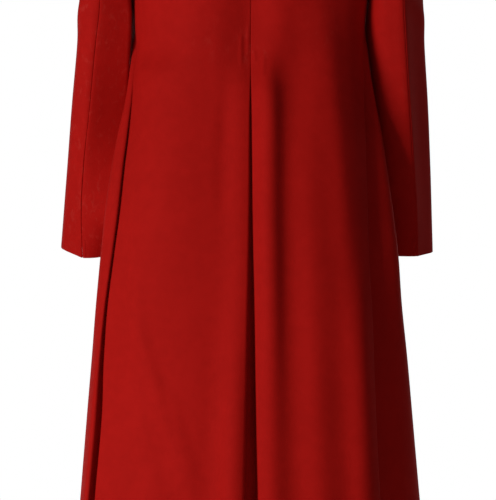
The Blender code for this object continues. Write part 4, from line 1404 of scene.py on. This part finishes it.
@dataclass
class Collar:
    """The standing band: two layers with their fold at the top, open at the centre front."""

    height: float = 0.040
    lean: float = 0.004             # how far it draws in from foot to top
    inside: float = 0.0012          # how far its foot stands inside the neck's seam
    foot: float = 0.0006            # and below it
    end_x: float = 0.006            # distance of an end from the centre front
    end_slant: float = 0.004        # how far an end leans outward at the top
    end_arc: float = 0.5            # angle over which it does
    wave: float = 0.0005            # height of the top's slight waves
    fold: float = 0.0009            # radius of the fold at the top
    inner_lack: float = 0.003       # how much shorter the inner layer is
    columns: int = 96
    rows: int = 12

    def build(self) -> Array:
        """Build the band.

        The neck's oval is lifted and drawn in a little. The inner layer is turned down from the
        top, and the seam's allowance is turned in at the foot.

        Returns:
            The grid from the wearer's right end round the back to the left.
        """
        last = neck_angle(np.array(self.end_x))
        angles = np.linspace(-last, last, self.columns + 1)
        share = np.linspace(1, 0, self.rows + 1)[:, None]
        base = neck_point(angles)[None]
        inward = points(-np.sin(angles), -np.cos(angles), 0.0)[None]
        grid = base + inward * (self.inside + self.lean * share)[..., None]
        grid[..., 2] += self.height * share - self.foot
        near_end = ease((np.abs(angles) - last + self.end_arc) / self.end_arc)[None, :]
        grid[..., 0] += np.sign(angles)[None, :] * self.end_slant * share * near_end
        grid[..., 2] += self.wave * np.sin(angles * 5.0)[None, :] * share
        folded = np.concatenate([turn_over(grid, self.fold, self.height - self.inner_lack), grid])
        return np.concatenate([folded, turn_down(grid, SEAM_TURN, ALLOWANCE)])


@dataclass
class Buttons:
    """Covered buttons down the centre front, and the worked buttonholes under them."""

    lap: Array                      # columns of points down the lap
    count: int = 22
    spacing: float = 0.055
    first_drop: float = 0.082
    middle_row: int = 40            # the row in which the lap's middle column is looked for
    radius: float = 0.0068
    height: float = 0.0042
    rim: float = 0.30               # share of the height at the rim
    back: float = 0.97              # share of the radius behind
    clear: float = 0.0003           # space between button and lap
    cells: int = 12
    hole_length: float = 0.0180
    hole_width: float = 0.0026
    hole_aside: float = 0.0055      # how far a hole reaches out beside its button's middle
    thread: float = 0.00045
    thread_lift: float = 0.6        # how high the thread lies, in its radii
    thread_cloth: tuple[float, float] = (0.001, 0.0004)     # metres of thread a point, each way
    around: int = 40                # points round a hole
    section: int = 6                # and round its thread

    def places(self) -> list[tuple[Array, Array]]:
        """Find where the buttons stand.

        Returns:
            Each button's place on the lap's outer face, and the direction it faces: down the lap
            turned by a right angle.
        """
        found = []
        middle = self.lap[:, int(np.argmin(np.abs(self.lap[self.middle_row])[:, 0]))]
        tangents = unit(np.gradient(middle, axis=0))
        for drop in self.first_drop + np.arange(self.count) * self.spacing:
            place, down = (
                np.array([np.interp(drop, -middle[:, 2], values[:, axis]) for axis in range(3)])
                for values in (middle, tangents)
            )
            facing = unit(np.array([0.0, down[2], -down[1]]))
            found.append((np.array([0.0, place[1], place[2]]) + facing * CLOTH / 2, facing))
        return found

    def button(self, name: str, place: Array, facing: Array) -> bpy.types.Object:
        """A domed button with a flat back.

        A square grid is pressed into a disc. Above the rim, the height goes with a power of 1
        less a power of the radius, so that it is flat on top and steep at the rim.

        Args:
            name: Name of the piece.
            place: Where its back stands.
            facing: The way its dome faces.

        Returns:
            The new object.
        """
        u, v = np.meshgrid(*[np.linspace(-1, 1, self.cells + 1)] * 2)
        x, y = u * np.sqrt(1 - v ** 2 / 2), v * np.sqrt(1 - u ** 2 / 2)
        size = np.clip(np.hypot(x, y), 0, 1)
        dome = self.height * (self.rim + (1 - self.rim) * (1 - size ** 2.6) ** 0.62)
        up = np.cross(facing, ACROSS)
        spread = (ACROSS * x[..., None] + up * y[..., None]) * self.radius
        top = place + spread + facing * dome[..., None]
        back = place + spread * self.back + facing * self.clear
        count = u.size
        first = (np.arange(self.cells)[:, None] * (self.cells + 1) + np.arange(self.cells)).ravel()
        quads = np.stack([first, first + 1, first + self.cells + 2, first + self.cells + 1], axis=1)
        start, end = lone_edges(quads, count)
        rim = np.stack([end, start, start + count, end + count], axis=1)
        faces = np.concatenate([quads, quads[:, ::-1] + count, rim])
        cloth = np.stack([x, y], axis=-1).reshape(-1, 2) * self.radius
        vertices = np.concatenate([top.reshape(-1, 3), back.reshape(-1, 3)])
        return add_mesh(name, vertices, faces, np.concatenate([cloth, cloth]))

    def buttonholes(self) -> bpy.types.Object:
        """Thread worked round each buttonhole: a tube carried round a long oval.

        Returns:
            One object with all the buttonholes.
        """
        around, section = self.around, self.section
        t = np.linspace(0, math.tau, around, endpoint=False)
        s = np.linspace(0, math.tau, section, endpoint=False)
        length, width = self.hole_length / 2, self.hole_width / 2
        path = np.stack([np.sign(np.cos(t)) * np.abs(np.cos(t)) ** 0.5 * length,
                         np.sin(t) * width], axis=-1)
        ahead = np.roll(path, -1, axis=0) - np.roll(path, 1, axis=0)
        aside = unit(np.stack([ahead[:, 1], -ahead[:, 0]], axis=-1))
        flat = path[:, None] + aside[:, None] * (np.cos(s) * self.thread)[None, :, None]
        lift = np.broadcast_to(np.sin(s) * self.thread, (around, section))
        i, j = np.meshgrid(np.arange(around), np.arange(section), indexing="ij")
        corners = [(i, j), (i + 1, j), (i + 1, j + 1), (i, j + 1)]
        ring = np.stack([(a % around) * section + b % section for a, b in corners], axis=-1)
        vertices, faces, cloth = [], [], []
        for number, (place, facing) in enumerate(self.places()):
            up = np.cross(facing, ACROSS)
            middle = place + ACROSS * self.hole_aside + facing * self.thread * self.thread_lift
            tube = middle + ACROSS * flat[..., :1] + up * flat[..., 1:] + facing * lift[..., None]
            vertices.append(tube.reshape(-1, 3))
            faces.append(ring.reshape(-1, 4) + number * around * section)
            cloth.append(np.stack([i, j], axis=-1).reshape(-1, 2) * np.array(self.thread_cloth))
        return add_mesh("buttonholes", np.concatenate(vertices), np.concatenate(faces),
                        np.concatenate(cloth))


# ======================================================================= studio

LAMPS_AIM = -0.75           # height of the point at which the lamps look


@dataclass(frozen=True)
class Lamp:
    """A round soft light for the studio."""

    name: str
    place: tuple[float, float, float]
    size: float
    power: float

    def add(self) -> None:
        """Put the lamp into the scene, aimed at the middle of the garment."""
        lamp = bpy.data.lights.new(self.name, "AREA")
        lamp.shape, lamp.size, lamp.energy = "DISK", self.size, self.power
        light = bpy.data.objects.new(self.name, lamp)
        light.visible_camera = False
        light.location = self.place
        aim = Vector((0.0, 0.0, LAMPS_AIM)) - Vector(self.place)
        light.rotation_euler = aim.to_track_quat("-Z", "Y").to_euler()
        bpy.context.scene.collection.objects.link(light)


LAMPS = (
    Lamp("key", (1.88, 1.97, -0.50), 1.0, 43.5),
    Lamp("fill", (-1.4, 4.3, 0.2), 2.4, 12.5),
)
FLOOR_RADIUS = 1.9
FLOOR_CORNERS = 96
SKY_TOWARD = Vector((0.0, -1.0, -0.12))     # the way to the middle of the sky's light patch
SKY_EDGES = (70.0, 30.0)    # degrees from it where the patch starts and where it is full
SKY_VALUES = (0.05, 1.0)    # outside the patch and in its middle
CAMERA_PLACE = Vector((0.004, 4.5, -0.14))
CAMERA_AIM = Vector((0.004, 0.0, -0.6795))
VIEW_WIDTH = 0.75           # metres across the view at the garment
SENSOR = 36.0               # millimetres
CLIP_END = 60.0


def studio() -> None:
    """A pale floor, a large soft light high on one side, a weak fill, and the camera."""
    scene = bpy.context.scene
    scene.view_settings.view_transform = "Standard"

    corner = np.linspace(0, math.tau, FLOOR_CORNERS, endpoint=False)
    rim = points(FLOOR_RADIUS * np.cos(corner), FLOOR_RADIUS * np.sin(corner), FLOOR)
    mesh = bpy.data.meshes.new("floor")
    mesh.from_pydata(rim, [], [list(range(FLOOR_CORNERS))])
    floor = bpy.data.objects.new("floor", mesh)
    scene.collection.objects.link(floor)
    paper, _ = new_material(
        "matte_white_paper", Base_Color=linear("E8E8E8"), Roughness=0.9, Specular_IOR_Level=0.1,
    )
    mesh.materials.append(paper)

    world = bpy.data.worlds.new("soft_daylight")
    scene.world = world
    world.use_nodes = True
    tree = world.node_tree
    ray = add_node(tree, "ShaderNodeTexCoord", {}, {}).outputs["Generated"]
    toward = add_node(tree, "ShaderNodeVectorMath", {"operation": "DOT_PRODUCT"}, {
        0: ray, 1: SKY_TOWARD.normalized(),
    }).outputs["Value"]
    edge, full = (math.cos(math.radians(angle)) for angle in SKY_EDGES)
    dark, bright = SKY_VALUES
    patch = add_node(tree, "ShaderNodeMapRange", {"interpolation_type": "SMOOTHSTEP"}, {
        "Value": toward, "From Min": edge, "From Max": full, "To Min": dark, "To Max": bright,
    }).outputs["Result"]
    tree.links.new(patch, tree.nodes["Background"].inputs["Color"])

    for lamp in LAMPS:
        lamp.add()

    camera_data = bpy.data.cameras.new("camera")
    camera = bpy.data.objects.new("camera", camera_data)
    ahead = CAMERA_AIM - CAMERA_PLACE
    camera.location = CAMERA_PLACE
    camera.rotation_euler = ahead.to_track_quat("-Z", "Y").to_euler()
    camera_data.sensor_width = SENSOR
    camera_data.lens = SENSOR * ahead.length / VIEW_WIDTH
    camera_data.clip_end = CLIP_END
    scene.collection.objects.link(camera)
    scene.camera = camera


# ======================================================================= the garment

BACK_CREASES = {
    Side.LEFT: (
        Crease((-0.002, 0.180), (-0.002, 0.440), (0.032, 0.032), -0.0110, fade=(0.4, 0.3)),
        Crease((0.080, 0.215), (0.080, 0.440), (0.045, 0.045), 0.0070, fade=(0.3, 0.35)),
        Crease((0.160, 0.440), (0.050, 0.330), (0.016, 0.022), 0.0022, fade=(0.4, 0.5)),
        Crease((0.013, 0.345), (0.013, 0.402), (0.0022, 0.0035), 0.0010, bow=0.001),
        Crease((0.003, 0.330), (0.004, 0.390), (0.0018, 0.0028), 0.0009),
        Crease((0.034, 0.400), (0.040, 0.700), (0.010, 0.014), -0.0018, fade=(0.3, 0.5)),
        Crease((0.172, 0.740), (0.064, 1.060), (0.011, 0.015), 0.0036, fade=(0.4, 0.4)),
        Crease((0.116, 0.840), (0.062, 1.030), (0.009, 0.012), 0.0018, fade=(0.4, 0.4)),
        Crease((0.150, 0.760), (0.132, 1.130), (0.040, 0.045), -0.0085, fade=(0.5, 0.4)),
        Crease((0.014, 0.720), (0.012, 1.300), (0.020, 0.026), 0.0106, fade=(0.4, 0.4)),
    ),
    Side.RIGHT: (
        Crease((-0.002, 0.180), (-0.002, 0.440), (0.032, 0.032), -0.0110, fade=(0.4, 0.3)),
        Crease((0.004, 0.372), (0.006, 0.396), (0.0020, 0.0030), 0.0010),
        Crease((0.019, 0.376), (0.017, 0.420), (0.0025, 0.0040), 0.0010),
        Crease((0.103, 0.250), (0.152, 0.790), (0.018, 0.022), 0.0034, fade=(0.3, 0.4)),
        Crease((0.062, 0.270), (0.078, 0.560), (0.016, 0.020), -0.0026, fade=(0.3, 0.5)),
        Crease((0.026, 0.350), (0.023, 0.960), (0.015, 0.017), 0.0056, fade=(0.20, 0.5)),
        Crease((0.152, 0.640), (0.160, 1.250), (0.022, 0.026), 0.0100, fade=(0.35, 0.3)),
    ),
}
FRONT_CREASES = {
    Side.LEFT: (
        Crease((0.060, 0.520), (0.180, 0.900), (0.016, 0.024), 0.0024, fade=(0.5, 0.5)),
        Crease((0.120, 0.330), (0.200, 0.420), (0.012, 0.018), 0.0018, fade=(0.5, 0.5)),
    ),
    Side.RIGHT: (
        Crease((0.070, 0.560), (0.170, 0.960), (0.018, 0.024), 0.0024, fade=(0.5, 0.5)),
        Crease((0.110, 0.320), (0.200, 0.400), (0.012, 0.018), 0.0018, fade=(0.5, 0.5)),
    ),
}
SLEEVE_CREASES = {
    Side.LEFT: (
        Crease((0.250, 0.230), (0.330, 0.330), (0.010, 0.014), 0.0024, fade=(0.4, 0.5)),
        Crease((0.240, 0.300), (0.240, 0.680), (0.008, 0.012), 0.0026, fade=(0.5, 0.0)),
        Crease((0.200, 0.565), (0.2165, 0.650), (0.013, 0.013), -0.0150, fade=(0.5, 0.0)),
    ),
    Side.RIGHT: (
        Crease((0.250, 0.230), (0.330, 0.330), (0.010, 0.014), 0.0024, fade=(0.4, 0.5)),
        Crease((0.236, 0.060), (0.236, 0.620), (0.006, 0.009), 0.0020, fade=(0.3, 0.4)),
    ),
}


BACK_SEEDS = {Side.LEFT: 2.0, Side.RIGHT: 5.1}
FRONT_SEEDS = {Side.LEFT: 7.0, Side.RIGHT: 8.0}
STRIP_ROLLS = {Side.LEFT: 1.0, Side.RIGHT: 0.2}         # how much the side pleats roll up
SLEEVE_RUBBED = {Side.LEFT: 0.7, Side.RIGHT: 0.15}      # how rubbed the sleeves are all over

# Where a back is rubbed: distance from the centre, drop, half width and half height of a spot.
RUBBED_PLEAT = (0.0, 0.378, 0.024, 0.024)
RUBBED_SMALL = {
    Side.LEFT: (0.060, 0.360, 0.034, 0.036),
    Side.RIGHT: (0.104, 0.350, 0.034, 0.036),
}


@dataclass
class Cassock:
    """The whole garment: builds each piece, dresses it and hides the solids that it stands for."""

    worsted: Worsted = Worsted()
    thread: SewingThread = SewingThread()
    cloth: Optional[bpy.types.Material] = None      # the worsted's material, once it is built

    def dress(self, piece: bpy.types.Object, nodes: tuple[str, ...],
              material: bpy.types.Material) -> None:
        """Give a piece its material, let it ride on the body and hide the solids it stands for.
            material: Its material.
        """
        piece.data.materials.append(material)
        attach(piece, BODY)
        if nodes:
            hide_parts(*nodes)
        log.info("%s: %d faces", piece.name, len(piece.data.polygons))

    def sew(self, name: str, grid: Array,
            mirrored: bool = False, nap: Optional[Array] = None) -> bpy.types.Object:
        """Make and dress one cut piece of the cloth, hiding its solid.

        Args:
            name: Name of the piece and of its solid.
            grid: The middle of the cloth.
            mirrored: Whether to mirror it to the wearer's right.
            nap: How rubbed the cloth is.

        Returns:
            The piece.
        """
        piece = shell(name + "_cloth", grid, mirrored, nap=nap)
        self.dress(piece, (name,), self.cloth)
        return piece

    def build(self) -> None:
        """Build every piece, the panels first because the pleats and buttons lie on them."""
        self.cloth = self.worsted.material()
        thread = self.thread.material()
        backs = {side: BackPanel(side, creases=BACK_CREASES[side], seed=BACK_SEEDS[side])
                 for side in Side}
        outers = {side: back.outer() for side, back in backs.items()}
        for side in Side:
            mirrored = side is Side.RIGHT
            front = FrontPanel(side, creases=FRONT_CREASES[side], seed=FRONT_SEEDS[side],
                               roll=STRIP_ROLLS[side], back_outer=outers[side])
            lap = front.outer()[:, -front.lap_columns - 1:]
            extras = []
            if side is Side.LEFT:
                buttons = Buttons(lap)
                for number, (place, facing) in enumerate(buttons.places(), start=1):
                    name = f"button_{number:02d}"
                    extras.append(buttons.button("covered_" + name, place, facing))
                    self.dress(extras[-1], (name,), self.cloth)
                extras.append(buttons.buttonholes())
                self.dress(extras[-1], (), thread)
            self.sew("front_" + side.value, front.build(), mirrored)
            grid = backs[side].build()
            self.sew("back_" + side.value, grid, mirrored,
                     nap=self.rubbed_back(grid, side))
            sleeve = Sleeve(side, creases=SLEEVE_CREASES[side])
            for part, grid in (("upper", sleeve.upper()), ("under", sleeve.under())):
                nap = np.full(grid.shape[:2], SLEEVE_RUBBED[side])
                self.sew(f"{part}_sleeve_{side.value}", grid,
                         mirrored, nap=nap)
        underlay = PleatUnderlay(outers[Side.LEFT], outers[Side.RIGHT], backs[Side.LEFT].drops)
        self.sew("back_pleat_underlay", underlay.build())
        self.sew("collar", Collar().build())

    def rubbed_back(self, grid: Array, side: Side) -> Array:
        """Find how rubbed a back panel is.

        Args:
            grid: The middle of its cloth.
            side: Its side of the wearer.

        Returns:
            Bells round the top of the centre pleat and over the small of the back, added up.
        """
        def spot(x: float, drop: float, wide: float, high: float) -> Array:
            """One bell, of the squared distances from its middle."""
            return np.exp(-((grid[..., 0] - x) / wide) ** 2 - ((-grid[..., 2] - drop) / high) ** 2)
        return 0.9 * spot(*RUBBED_PLEAT) + 0.45 * spot(*RUBBED_SMALL[side])


def main() -> None:
    """Build the garment and its studio."""
    logging.basicConfig(level=logging.INFO, format="%(name)s: %(message)s")
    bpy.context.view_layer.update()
    Cassock().build()
    studio()
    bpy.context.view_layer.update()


if __name__ == "__main__":
    main()
